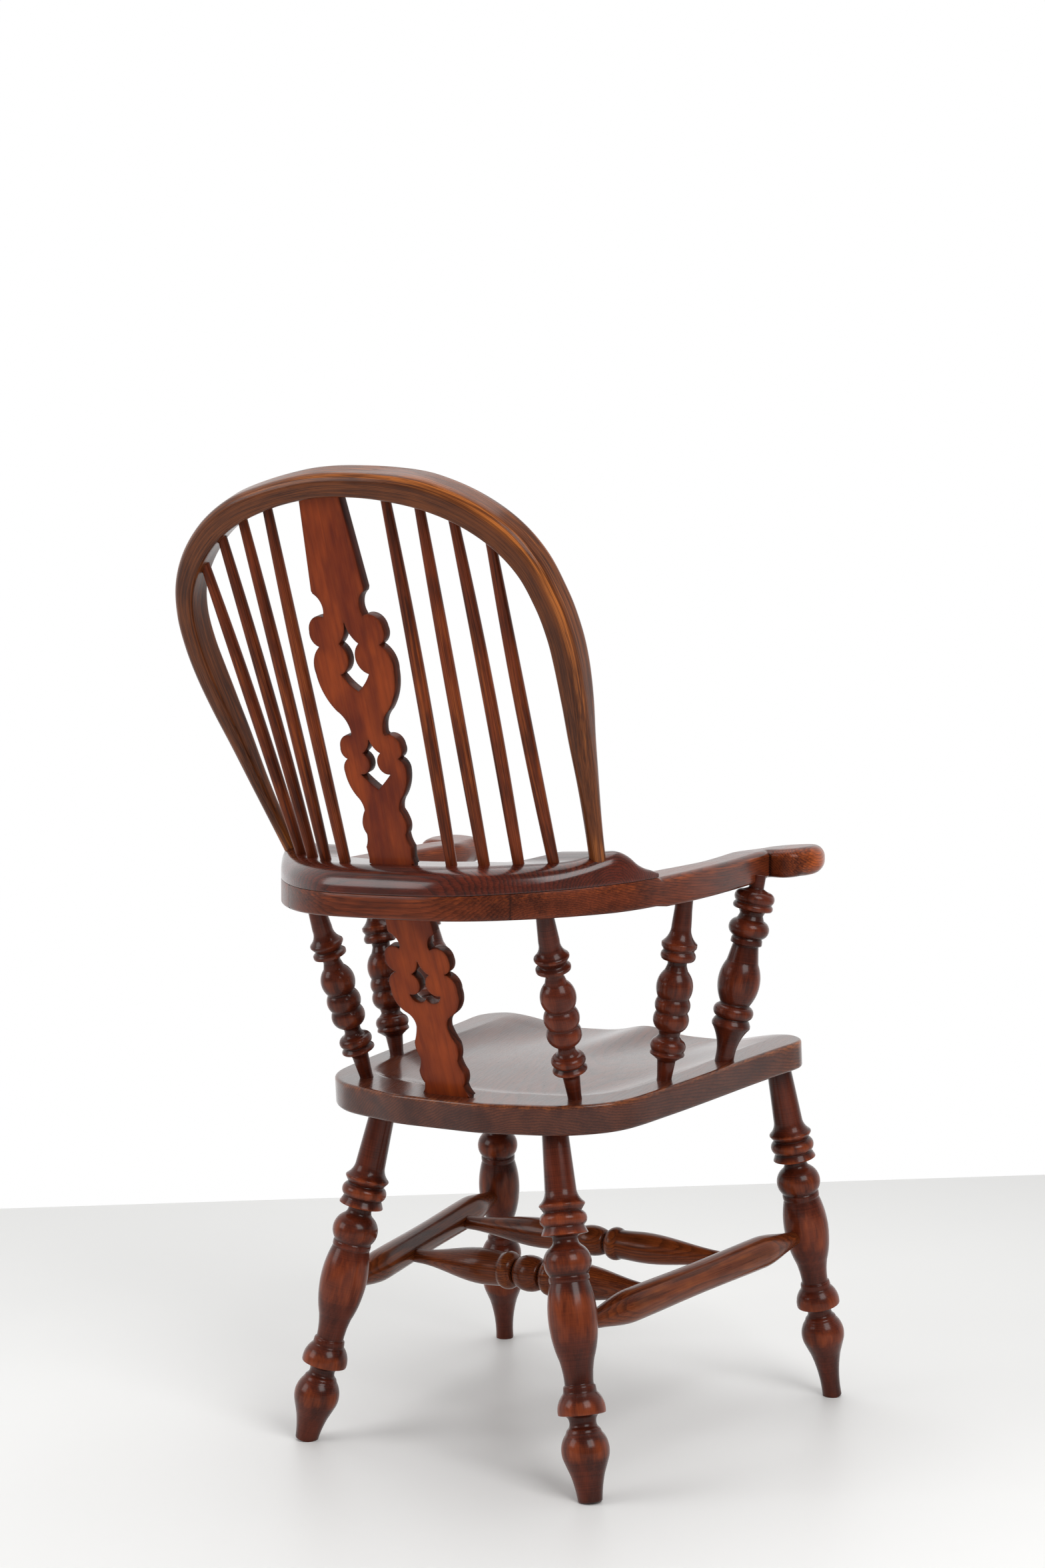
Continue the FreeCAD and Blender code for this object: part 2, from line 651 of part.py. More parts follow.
# The outlines run from the foot to the head of the shown board, and stretch with its length
UPPER_PATTERN = 412.0
UPPER = [
    (UPPER_HEAD_HALF + 0.9, UPPER_PATTERN), (35.2, 308.5), (33.8, 305),
    (27.3, 298.5, 25.0, 284), (26.6, 279.6), (43, 277.2, 49.3, 264.5), (47.8, 253, 40.6, 246.7),
    (50.8, 234, 52.3, 217), (47.6, 195, 34.5, 174.5), (24.4, 162, 21.7, 149.4), (23.2, 147.4),
    (34.5, 145.6, 40.6, 134), (39.9, 126, 34.3, 120.6), (39.9, 115, 41.4, 106), (38.2, 91, 30.0, 77),
    (25.2, 69.5, 23.7, 62), (27.4, 55, 29.6, 47.5), (29.2, 41, 26.3, 34.5), (27.1, 27, 30.3, 19.5),
    (29.0, 7), (UPPER_FOOT_HALF + 2.2, 0),
]
UPPER_HOLES = [
    [(0, 272), (4.4, 258.5, 12.6, 249), (4.8, 233, 18.2, 215.2), (9.6, 204.5, 0, 196.8)],
    [(0, 142), (3.9, 133.6, 11.2, 127), (5.0, 116, 19.0, 102.8), (9.2, 93.6, 0, 86)],
]
LOWER_PATTERN = 215.0
LOWER = [
    (LOWER_HEAD_HALF + 1.1, LOWER_PATTERN), (31.9, 193.5), (30.6, 190.4),
    (23.0, 185.6, 19.6, 175.4), (21.0, 172.6), (36.5, 173.6, 44.2, 161), (42.2, 150.8, 33.6, 144.7),
    (43.2, 138.5, 46.0, 125.5), (42.6, 107.5, 31.0, 96.4), (23.6, 89.6, 21.6, 80.5), (24.6, 71, 28.9, 62),
    (28.9, 52, 25.8, 43), (27.4, 35.2, 30.9, 28), (30.2, 19, 27.0, 12.6), (28.8, 6.0, LOWER_FOOT_HALF + 3, 0),
]
LOWER_HOLES = [[(0, 158), (4.3, 148.6, 11.3, 143), (4.0, 130, 20.6, 118.5), (10.8, 109.8, 0, 114.6)]]


def boarded(outline, length, pattern, head_half, foot_half):
    """Outline stretched to the shown length, with a tenon at each end."""
    shown = risen(outline, length / pattern)
    head = [(0, length + SPLAT_TENON), (head_half, length + SPLAT_TENON)]
    foot = [(foot_half, 0), (foot_half, -SPLAT_TENON), (0, -SPLAT_TENON)]
    return head + shown + foot


def splat_solid(outline, holes, foot, head):
    """Sawn board; its rear face runs through foot and head."""
    up = (head - foot).normalize()
    front = V(0, -up.z, up.y)

    def lift(x, s):
        return foot + V(1, 0, 0) * x + up * s

    board = Part.Face(Part.Wire(trace(both_sides(outline), lift))).extrude(front * SPLAT_THICK)
    for hole in holes:
        cutter = Part.Face(Part.Wire(trace(both_sides(hole), lift))).extrude(front * SPLAT_THICK)
        board = board.cut(cutter)
    return board


def mortise(half, low, high, foot, head):
    """Slot for a splat tenon, with its side clearance."""
    up = (head - foot).normalize()
    front = V(0, -up.z, up.y)
    g = SLOT_GAP
    corner = foot - front * g + up * low - V(half + g, 0, 0)
    width = V(2 * (half + g), 0, 0)
    base = [corner, corner + width, corner + width + up * (high - low), corner + up * (high - low), corner]
    return Part.Face(Part.makePolygon(base)).extrude(front * (SPLAT_THICK + 2 * g))


upper = boarded(UPPER, UPPER_LEN, UPPER_PATTERN, UPPER_HEAD_HALF, UPPER_FOOT_HALF)
lower = boarded(LOWER, LOWER_LEN, LOWER_PATTERN, LOWER_HEAD_HALF, LOWER_FOOT_HALF)
upper_holes = [risen(hole, UPPER_LEN / UPPER_PATTERN) for hole in UPPER_HOLES]
lower_holes = [risen(hole, LOWER_LEN / LOWER_PATTERN) for hole in LOWER_HOLES]
nodes["splat_upper"] = splat_solid(upper, upper_holes, UPPER_FOOT, UPPER_HEAD)
nodes["splat_lower"] = splat_solid(lower, lower_holes, LOWER_FOOT, LOWER_HEAD)
deep = SPLAT_TENON + END_GAP
crest_holes.append(mortise(UPPER_FOOT_HALF + 2.2, -deep, SEAT_IN, UPPER_FOOT, UPPER_HEAD))
bow_holes.append(mortise(UPPER_HEAD_HALF + 1, UPPER_LEN - SEAT_IN, UPPER_LEN + deep, UPPER_FOOT, UPPER_HEAD))
seat_holes.append(mortise(LOWER_FOOT_HALF + 3.0, -deep, SEAT_IN, LOWER_FOOT, LOWER_HEAD))
arm_holes.append(mortise(LOWER_HEAD_HALF + 2, LOWER_LEN - SEAT_IN, LOWER_LEN + deep, LOWER_FOOT, LOWER_HEAD))


def bored(solid, tools):
    for tool in tools:
        if solid.BoundBox.intersect(tool.BoundBox):
            solid = main_solid(solid.cut(tool))
    return solid


nodes["seat"] = bored(seat_blank(), seat_holes)
nodes["arm_left"] = bored(nodes["arm_left"], arm_holes)
nodes["arm_back"] = bored(nodes["arm_back"], arm_holes)
nodes["arm_crest"] = bored(nodes["arm_crest"], crest_holes)
nodes["back_bow"] = bored(bow, bow_holes)

for name in [n for n in nodes if "_left" in n]:
    nodes[name.replace("_left", "_right")] = mirrored(nodes[name])

os.makedirs("parts", exist_ok=True)
total = None
for name in sorted(nodes):
    shape = nodes[name]
    shape = shape.Solids[0] if len(shape.Solids) == 1 else shape
    shape = shape.copy()
    shape.translate(V(0, -BASE_Y, 0))
    box = shape.optimalBoundingBox(False, False)
    total = box if total is None else total.united(box)
    print("%-28s %s solids %d valid %s volume %.0f y %.1f..%.1f z %.1f..%.1f" % (
        name, shape.ShapeType, len(shape.Solids), shape.isValid(), shape.Volume,
        box.YMin, box.YMax, box.ZMin, box.ZMax))
    shape.exportStep("parts/%s.step" % name)
print("nodes", len(nodes), "box", total)
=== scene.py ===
import math

import bpy
import numpy as np
from mathutils import Matrix, Vector, geometry


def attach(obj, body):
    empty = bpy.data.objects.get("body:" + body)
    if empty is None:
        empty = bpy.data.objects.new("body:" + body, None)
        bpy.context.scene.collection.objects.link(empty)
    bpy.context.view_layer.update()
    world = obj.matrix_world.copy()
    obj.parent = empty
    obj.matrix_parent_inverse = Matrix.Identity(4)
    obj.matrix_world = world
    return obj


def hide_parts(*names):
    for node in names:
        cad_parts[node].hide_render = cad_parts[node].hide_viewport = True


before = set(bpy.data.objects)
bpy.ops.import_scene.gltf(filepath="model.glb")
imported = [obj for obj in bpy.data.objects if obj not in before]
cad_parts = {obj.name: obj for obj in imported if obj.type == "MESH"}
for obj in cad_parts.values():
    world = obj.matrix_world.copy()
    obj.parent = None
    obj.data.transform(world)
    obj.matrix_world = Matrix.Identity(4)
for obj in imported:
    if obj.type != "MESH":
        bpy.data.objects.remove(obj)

scene = bpy.context.scene
scene.view_settings.view_transform = "Standard"
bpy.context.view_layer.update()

# Seat: one thick elm plank, saddled by hand with two thigh hollows and a low ridge between them.
# A flat margin is left round the back and sides, where the spindles are socketed.
# The stain is worn thin in the hollow and the open grain runs from front to back.

mm = 0.001


def placed(points):
    """Layout millimetres to metres in the frame: the layout's origin is 114.1 mm in front of the frame's."""
    return (np.asarray(points, float) - (0.0, 114.1, 0.0)) * mm


def trace(path, step=1.5):
    """Points along a path whose pairs are straight steps and whose fours are arcs through a middle point.
    The arc's centre is where the two chords' perpendicular bisectors cross."""
    done = [np.array([path[0]], float)]
    for item in path[1:]:
        a = done[-1][-1]
        b = np.array(item[-2:], float)
        if len(item) == 2:
            n = max(1, int(np.hypot(*(b - a)) / step))
            done.append(a + (b - a) * np.linspace(0, 1, n + 1)[1:, None])
            continue
        m = np.array(item[:2], float)
        rows = 2 * np.array([m - a, b - a])
        c = np.linalg.solve(rows, [m @ m - a @ a, b @ b - a @ a])
        r = np.hypot(*(a - c))
        t0 = math.atan2(*(a - c)[::-1])
        turn = (math.atan2(*(b - c)[::-1]) - t0) % math.tau
        if (math.atan2(*(m - c)[::-1]) - t0) % math.tau > turn:
            turn -= math.tau
        n = max(2, int(abs(turn) * r / step))
        t = t0 + turn * np.linspace(0, 1, n + 1)[1:]
        done.append(c + r * np.stack([np.cos(t), np.sin(t)], 1))
    return np.vstack(done)


def eased(points):
    """Cubic Hermite curve through the points, with each tangent half the step between its neighbours."""
    p = np.asarray(points, float)
    q = np.vstack([2 * p[:1] - p[1:2], p, 2 * p[-1:] - p[-2:-1]])
    tangent = (q[2:] - q[:-2]) / 2
    t = np.linspace(0, 1, 24, endpoint=False)[None, :, None]
    a, b, ta, tb = p[:-1, None], p[1:, None], tangent[:-1, None], tangent[1:, None]
    inner = (2 * t**3 - 3 * t**2 + 1) * a + (t**3 - 2 * t**2 + t) * ta
    inner = inner + (3 * t**2 - 2 * t**3) * b + (t**3 - t**2) * tb
    return np.vstack([inner.reshape(-1, p.shape[1]), p[-1:]])


def lengths(line):
    """Length of a line of points from its start to each point."""
    return np.hstack([0, np.cumsum(np.linalg.norm(np.diff(line, axis=0), axis=1))])


def spaced(line, shares):
    """Points at the given shares of a line's length."""
    run = lengths(line)
    want = np.asarray(shares) * run[-1]
    return np.stack([np.interp(want, run, line[:, k]) for k in range(line.shape[1])], -1)


def both_sides(half):
    """Line from end to end, from its half on the left that starts at the middle."""
    return np.vstack([half[::-1] * (-1, 1), half[1:]])


def away(spots, line):
    """Shortest distance in plan from each spot to a line of points, by its nearest segment."""
    flat = spots.reshape(-1, 1, 2)
    a, b = line[None, :-1], line[None, 1:]
    ab = b - a
    t = np.clip(((flat - a) * ab).sum(-1) / np.maximum((ab * ab).sum(-1), 1e-9), 0, 1)
    gap = flat - a - ab * t[..., None]
    return np.sqrt((gap * gap).sum(-1).min(1)).reshape(spots.shape[:-1])


def square_to(loop):
    """Unit vectors square to a closed line at its points, to the left of its run."""
    ahead = np.roll(loop, -1, 0) - np.roll(loop, 1, 0)
    return np.stack([-ahead[:, 1], ahead[:, 0]], -1) / np.linalg.norm(ahead, axis=1)[:, None]


def step_up(x, low, high):
    """Smooth rise from 0 to 1 between low and high."""
    t = np.clip((x - low) / (high - low), 0, 1)
    return t * t * (3 - 2 * t)


def colour(r, g, b):
    """Screen colour 0 to 255 as linear light."""
    c = np.array([r, g, b]) / 255.0
    c = np.where(c <= 0.04045, c / 12.92, ((c + 0.055) / 1.055) ** 2.4)
    return (*c.tolist(), 1.0)


def skin(rings):
    """Closed surface over a stack of closed rings, with a point at the middle of each end ring."""
    rows, cols = rings.shape[:2]
    points = np.vstack([rings.reshape(-1, 3), rings[:1].mean(1), rings[-1:].mean(1)])
    row, j = np.meshgrid(np.arange(rows - 1) * cols, np.arange(cols), indexing="ij")
    k = (j + 1) % cols
    quads = np.stack([row + j, row + k, row + cols + k, row + cols + j], -1).reshape(-1, 4)
    j, k, end = j[0], k[0], rows * cols
    first = np.stack([k, j, np.full(cols, end)], -1)
    last = np.stack([end - cols + j, end - cols + k, np.full(cols, end + 1)], -1)
    return points, quads, np.vstack([first, last])


def spread(values):
    """A value for each point of a skin: those of the rings, then the means of the end rings."""
    flat = values.reshape(-1, *values.shape[2:])
    return np.concatenate([flat, values[:1].mean(1), values[-1:].mean(1)])


def wooden(name, nodes, body, grain, rub, soil, finish, crease=38.0):
    """One wooden piece from points, four-sided and three-sided faces. Grain, rub and soil
    (dirt, dark joints and painted shade in grooves) become attributes of its points; faces are turned round
    where the enclosed volume comes out negative, and edges that turn by more than crease degrees are shaded sharp."""
    points, quads, threes = body
    points = placed(points)
    corners = points[np.vstack([quads[:, [0, 1, 2]], quads[:, [0, 2, 3]], threes])]
    if np.einsum("ij,ij->", corners[:, 0], np.cross(corners[:, 1], corners[:, 2])) < 0:
        quads, threes = quads[:, ::-1], threes[:, ::-1]
    mesh = bpy.data.meshes.new(name)
    mesh.from_pydata(points.tolist(), [], quads.tolist() + threes.tolist())
    mesh.attributes.new("grain", "FLOAT_VECTOR", "POINT").data.foreach_set("vector", np.ravel(grain))
    mesh.attributes.new("rub", "FLOAT", "POINT").data.foreach_set("value", np.ravel(rub))
    mesh.attributes.new("soil", "FLOAT", "POINT").data.foreach_set("value", np.ravel(soil))
    mesh.shade_smooth()
    mesh.set_sharp_from_angle(angle=math.radians(crease))
    mesh.materials.append(finish)
    piece = bpy.data.objects.new(name, mesh)
    scene.collection.objects.link(piece)
    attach(piece, "root")
    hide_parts(*nodes)
    return piece


def aged_wood():
    """Node group for old stained wood. Growth rings are the fraction of the distance from the pith,
    pores are long thin specks, the stain is cloudy, and rubbed edges show the pale wood beneath."""
    group = bpy.data.node_groups.new("aged_wood", "ShaderNodeTree")
    for way, kind, labels in (
        ("INPUT", "Vector", ("Grain",)),
        ("INPUT", "Color", ("Stain", "Warm", "Bare")),
        ("INPUT", "Float", ("Rub", "Soil", "Ring Size", "Ring Depth", "Pore Depth", "Cloud", "Streak", "Wear",
                            "Gloss", "Lathe")),
        ("OUTPUT", "Color", ("Color",)),
        ("OUTPUT", "Float", ("Roughness", "Height")),
    ):
        for label in labels:
            group.interface.new_socket(name=label, in_out=way, socket_type="NodeSocket" + kind)
    nodes, links = group.nodes, group.links
    get = nodes.new("NodeGroupInput").outputs
    put = nodes.new("NodeGroupOutput").inputs

    def join(source, target):
        if isinstance(source, (int, float, tuple)):
            target.default_value = source
        else:
            links.new(source, target)

    def maths(kind, *values):
        node = nodes.new("ShaderNodeMath")
        node.operation = kind
        for value, target in zip(values, node.inputs):
            join(value, target)
        return node.outputs[0]

    def times(a, b):
        return maths("MULTIPLY", a, b)

    def plus(*values):
        total = values[0]
        for value in values[1:]:
            total = maths("ADD", total, value)
        return total

    def held(total):
        """Keeps a sum between 0 and 1."""
        total.node.use_clamp = True
        return total

    def clouds(scale, detail=2.0, rough=0.5):
        """Noise with its scale across, through and along the grain, in waves per metre."""
        size = nodes.new("ShaderNodeVectorMath")
        size.operation = "MULTIPLY"
        join(get["Grain"], size.inputs[0])
        join(scale, size.inputs[1])
        node = nodes.new("ShaderNodeTexNoise")
        for label, value in (("Scale", 1.0), ("Detail", detail), ("Roughness", rough), ("Vector", size.outputs[0])):
            join(value, node.inputs[label])
        return node.outputs["Fac"]

    def ramp(value, low, high, bottom=0.0, top=1.0):
        """Smooth change from bottom to top as the value goes from low to high."""
        node = nodes.new("ShaderNodeMapRange")
        node.interpolation_type = "SMOOTHSTEP"
        for target, number in zip(node.inputs, (value, low, high, bottom, top)):
            join(number, target)
        return node.outputs[0]

    def blend(share, a, b):
        node = nodes.new("ShaderNodeMix")
        node.data_type = "RGBA"
        for target, value in ((0, share), (6, a), (7, b)):
            join(value, node.inputs[target])
        return node.outputs[2]

    split = nodes.new("ShaderNodeSeparateXYZ")
    join(get["Grain"], split.inputs[0])
    across = maths("SQRT", plus(maths("POWER", split.outputs[0], 2.0), maths("POWER", split.outputs[1], 2.0)))
    ring = maths("FRACT", plus(maths("DIVIDE", across, get["Ring Size"]), times(clouds((30, 30, 4), 3.0), 2.6),
                               times(clouds((160, 160, 9)), 0.9)))
    late = times(ramp(ring, 0.30, 0.92), ramp(ring, 0.93, 1.0, 1.0, 0.0))
    pore = times(ramp(clouds((1500, 1500, 70), 1.0), 0.60, 0.74), ramp(late, 0.1, 0.8, 0.35, 1.0))
    fibre = clouds((620, 620, 14), 3.0, 0.6)
    cloud = clouds((26, 26, 9), 3.0, 0.55)
    drift = clouds((75, 75, 22), 2.0, 0.6)
    dashes = clouds((420, 420, 12), 2.0, 0.6)
    tool_rings = clouds((5, 5, 1300), 2.0, 0.6)

    # colour: clouded stain, bare wood where it is rubbed, then dark rings, pores, and dirt with painted shade from
    # the dirt-and-shade mark
    shade = held(plus(times(ramp(cloud, 0.34, 0.66), get["Cloud"]), times(ramp(fibre, 0.35, 0.68), get["Streak"]),
                      times(ramp(tool_rings, 0.35, 0.65, -0.5, 0.5), get["Lathe"]),
                      ramp(drift, 0.3, 0.75, -0.12, 0.22)))
    tone = blend(shade, get["Stain"], get["Warm"])
    rub = times(get["Rub"], get["Wear"])
    patches = times(ramp(drift, 0.2, 0.8, -0.3, 0.25), maths("SUBTRACT", 1.0, get["Streak"]))
    streaks = times(ramp(dashes, 0.25, 0.75, -0.6, 0.5), get["Streak"])
    worn = times(ramp(plus(rub, patches, streaks), 0.05, 1.0), ramp(rub, 0.02, 0.3))
    tone = blend(worn, tone, get["Bare"])
    dark = held(plus(times(late, get["Ring Depth"]), times(pore, get["Pore Depth"]),
                     times(get["Soil"], ramp(drift, 0.2, 0.8, 0.45, 0.8))))
    join(blend(dark, tone, colour(16, 7, 6)), put["Color"])

    # gloss: duller in pores, on bare wood and where the dirt-and-shade mark lies
    join(held(plus(get["Gloss"], times(pore, 0.2), ramp(fibre, 0.3, 0.7, -0.03, 0.06),
                   ramp(cloud, 0.3, 0.7, -0.03, 0.05), times(worn, 0.1), times(get["Soil"], 0.15))),
         put["Roughness"])

    # relief: late wood and pores lie in, fibres and slow waves stand out, the lathe leaves fine rings
    join(plus(times(times(late, get["Ring Depth"]), -0.35), times(times(pore, get["Pore Depth"]), -0.8),
              ramp(fibre, 0.2, 0.8, 0.0, 0.22), ramp(drift, 0.2, 0.8, 0.0, 0.5),
              times(tool_rings, times(get["Lathe"], 0.5))),
         put["Height"])
    return group


wood_group = aged_wood()


def stained(name, relief, coat, wax=1.3, **values):
    """Material for one kind of piece: the aged wood with its own colours and grain, in relief, under a coat
    of polish whose refractive index is wax."""
    finish = bpy.data.materials.new(name)
    finish.use_nodes = True
    nodes, links = finish.node_tree.nodes, finish.node_tree.links
    shader = nodes["Principled BSDF"]
    wood = nodes.new("ShaderNodeGroup")
    wood.node_tree = wood_group
    for label, value in values.items():
        value = colour(*value) if isinstance(value, tuple) else value
        wood.inputs[label.replace("_", " ").title()].default_value = value
    for label, socket in (("grain", "Vector"), ("rub", "Fac"), ("soil", "Fac")):
        read = nodes.new("ShaderNodeAttribute")
        read.attribute_name = label
        links.new(read.outputs[socket], wood.inputs[label.title()])
    bump = nodes.new("ShaderNodeBump")
    bump.inputs["Strength"].default_value = relief
    bump.inputs["Distance"].default_value = 0.0006
    links.new(wood.outputs["Height"], bump.inputs["Height"])
    links.new(bump.outputs["Normal"], shader.inputs["Normal"])
    links.new(wood.outputs["Color"], shader.inputs["Base Color"])
    links.new(wood.outputs["Roughness"], shader.inputs["Roughness"])
    shader.inputs["Specular IOR Level"].default_value = 0.08
    shader.inputs["Coat Weight"].default_value = coat
    shader.inputs["Coat Roughness"].default_value = 0.17
    shader.inputs["Coat IOR"].default_value = wax
    return finish


seat_wood = stained("seat_elm", 0.5, 1.0, 1.35, stain=(64, 27, 16), warm=(100, 50, 30), bare=(146, 80, 38),
                    ring_size=0.0030, ring_depth=0.4, pore_depth=0.6, cloud=0.55, streak=0.3, wear=0.45, gloss=0.36)

seat_high, seat_thick, tilt = 440, 34.0, math.radians(4.45)
top_round, low_round = 3.5, 4
seat_sides = eased([
    (0, 262), (55, 261), (98, 251.5), (141, 239.5), (168, 224), (189, 203.5), (201, 182), (207.5, 156),
    (212.5, 118), (217.5, 75), (223, 15), (229, -60), (235, -120), (239, -150), (240, -165),
])
seat_front = trace([(240, -165), (229, -192, 202, -204), (102, -213, 0, -215)])
seat_half = np.vstack([seat_sides, seat_front[1:]])
seat_edge = np.vstack([seat_half, seat_half[::-1][1:] * (-1, 1)])
seat_edge = spaced(seat_edge, np.linspace(0, 1, 481))[:-1]
seat_rim = both_sides(seat_sides)


def saddled(x, y):
    """Depth of the hollow below the flat margin. It falls off steeply inside the margin at the back and
    as a gentle S at the front: 8 mm deep at the back, 15 mm under the thighs at the front edge, and a
    ridge 6 mm down between them."""
    forward = step_up(-y, -60, 216)
    flat_margin = 33 + 24 * step_up(y, 120, 215) + 9 * forward
    inside = away(np.stack([x, y], -1), seat_rim) - flat_margin
    steep = (1 - (1 - np.clip(inside / 62, 0, 1)) ** 2.4) * step_up(inside, -1.5, 4)
    gentle = step_up(inside, 0, 100)
    ridge = 9.5 * np.exp(-(x / 36) ** 2) * step_up(-y, 0, 215)
    return (8 + 7.5 * forward - ridge) * (steep + (gentle - steep) * forward)


def seat_ring(inset, plane):
    """Ring of the plank at one height, inset from its edge and square to it."""
    spot = seat_edge - square_to(seat_edge) * inset
    return np.hstack([spot, np.full((len(spot), 1), plane)])


turn = np.linspace(0, math.pi / 2, 7)
over = [seat_ring(top_round * (1 - math.sin(t)), -top_round * (1 - math.cos(t))) for t in turn]
under = [seat_ring(low_round * (1 - math.cos(t)), -seat_thick + low_round * (1 - math.sin(t))) for t in turn]
side = [seat_ring(0, z) for z in np.linspace(-top_round, low_round - seat_thick, 7)[1:-1]]
middle, low_middle = np.array([0, 10, 0.0]), np.array([0, 10, -seat_thick])
shares = 1 - (1 - np.linspace(0.02, 1, 90)[:-1]) ** 1.15
top = [middle + (over[0] - middle) * s for s in shares]
low = [low_middle + (under[-1] - low_middle) * s for s in np.linspace(1, 0.02, 14)[1:]]
seat_rings = np.array(top + over + side + under + low)
x, y, z = np.moveaxis(seat_rings, -1, 0)
fade = 20
fall = saddled(x, y) * (z > -fade)
z = z - fall * np.clip(1 + z / fade, 0, 1)
seat_shape = np.stack([
    x, y * math.cos(tilt) + z * math.sin(tilt), seat_high - y * math.sin(tilt) + z * math.cos(tilt),
], -1)
margin = away(seat_rings[..., :2], np.vstack([seat_edge, seat_edge[:1]]))
edge_rub = np.exp(-((z + fall + 2) / 2.5) ** 2) * (margin < 6) + 0.6 * (margin < 1) * step_up(-y, 20, 190)
hollow_edge = step_up(fall, 0.3, 2.0) * step_up(-fall, -6.0, -2.0)
# the side of the plank is darker from 8 mm below its top edge downwards
wooden(
    "seat_plank", ["seat"], skin(seat_shape),
    spread(np.stack([x + 0.2 * y + 70, z + 240 + 0.06 * y, y - 0.2 * x], -1) * mm),
    spread(edge_rub + 0.2 * hollow_edge), spread(0.2 * (margin < 1) * (z < -8)), seat_wood,
)

# Legs: four turned legs of ash or beech, splayed and socketed blind into the underside of the seat.
# Each has a ball foot, cup, vase, ball and rings; the front toes are longer, as the seat rises there.
# The proud rings and balls are rubbed warm, and the grooves are darkened with dirt and painted shade.

hands = (("left", 1), ("right", -1))


def unit(v):
    return v / np.linalg.norm(v)


def blurred(values, half, wide):
    """Mean of each value and its neighbours up to half places away, weighted by a bell curve."""
    weight = np.exp(-(np.arange(-half, half + 1) / wide) ** 2)
    return np.convolve(np.pad(values, half, mode="edge"), weight / weight.sum(), "valid")


def turned(node, path, foot, head, finish, seed, around=64, rub_gain=1.0, bend=0.0):
    """Turned piece: the radius along the path is carried round the line from foot to head, which is bent
    sideways by half a sine wave. A ring that stands out from the mean of its surroundings is rubbed, so is
    the widest part, and one that lies in is darkened with dirt and painted shade."""
    line, ring_step = trace(path, 1.0), 0.9
    line = spaced(line, np.linspace(0, 1, int(lengths(line)[-1] / ring_step)))
    soft = np.stack([blurred(column, 3, 1.1) for column in line.T])
    soft[:, 0], soft[:, -1] = line[0], line[-1]
    s, r = soft
    mean = blurred(r, 14, 7.0)
    proud = 0.35 * np.clip((r - mean) / 2.0, 0, 1) + 0.75 * step_up(r / r.max(), 0.80, 1.0)
    # grooves that lie in are darkened: dirt and painted shade
    sunk = np.clip((mean - r) / 2.0, 0, 1)
    axis = unit(head - foot)
    u = unit(np.cross((0, 1, 0), axis))
    w = np.cross(axis, u)
    t = np.arange(around) * math.tau / around
    chance = np.random.default_rng(seed)
    oval = 1 + 0.004 * np.sin(t[None] * 2 + chance.uniform(0, 6)) * np.sin(s / 60 + chance.uniform(0, 6))[:, None]
    ring = r[:, None] * oval
    spot = foot + s[:, None, None] * axis + ring[..., None] * (np.cos(t)[:, None] * u + np.sin(t)[:, None] * w)
    spot[..., 0] += bend * np.sin(math.pi * np.clip(s / s[-1], 0, 1))[:, None]
    pith = chance.uniform(0.018, 0.045) * np.array([math.cos(chance.uniform(0, 6)), math.sin(chance.uniform(0, 6))])
    grain = np.stack([
        ring * np.cos(t) * mm + pith[0], ring * np.sin(t) * mm + pith[1],
        np.broadcast_to(s[:, None] * mm + chance.uniform(0, 9), ring.shape),
    ], -1)
    full = np.ones_like(ring)
    return wooden(node + "_turned", [node], skin(spot), spread(grain),
                  spread(proud[:, None] * full * rub_gain), spread(sunk[:, None] * full), finish)


def sized(pattern, ratio, start=0.0):
    """Turning pattern with its distances scaled and moved along the axis."""
    return [tuple(start + v * ratio if i % 2 == 0 else v for i, v in enumerate(item)) for item in pattern]


leg_wood = stained("leg_ash", 0.25, 0.7, stain=(54, 19, 10), warm=(100, 40, 21), bare=(138, 62, 28),
                   ring_size=0.0021, ring_depth=0.12, pore_depth=0.2, cloud=0.6, streak=0.12, wear=0.6, gloss=0.3,
                   lathe=0.35)
leg_turning = [
    (18, 16.0, 29, 18.9), (38, 22.4, 44, 24.7), (57, 26.4, 73, 19.6), (76, 18.7), (79, 15.6),
    (85, 14.9, 91.4, 19.0), (92, 26.4), (104, 25.4, 115, 18.6), (122, 18.0), (123, 16.0),
    (137, 17.0, 150, 19.6), (163, 23.6, 180, 26.5), (208, 26.8, 233, 21.7), (233.5, 22.6), (239, 22.6),
    (240, 21.4), (256, 26.7, 271, 18.0), (276, 14.2, 282, 14.8), (284, 26.4), (293, 22.4),
    (301, 26.5, 308.8, 21.0), (316, 26.0), (317.5, 25.6), (323, 20.6, 334, 17.6),
]
leg_lines = {  # foot on the floor, and run sideways and backwards for each millimetre up
    "rear": np.array([[196.43, 250.0, 0.0], [-0.19825, -0.12935, 1.0]]),
    "front": np.array([[246.25, -243.93, 0.0], [-0.07977, 0.17852, 1.0]]),
}
seat_fall = math.tan(tilt)
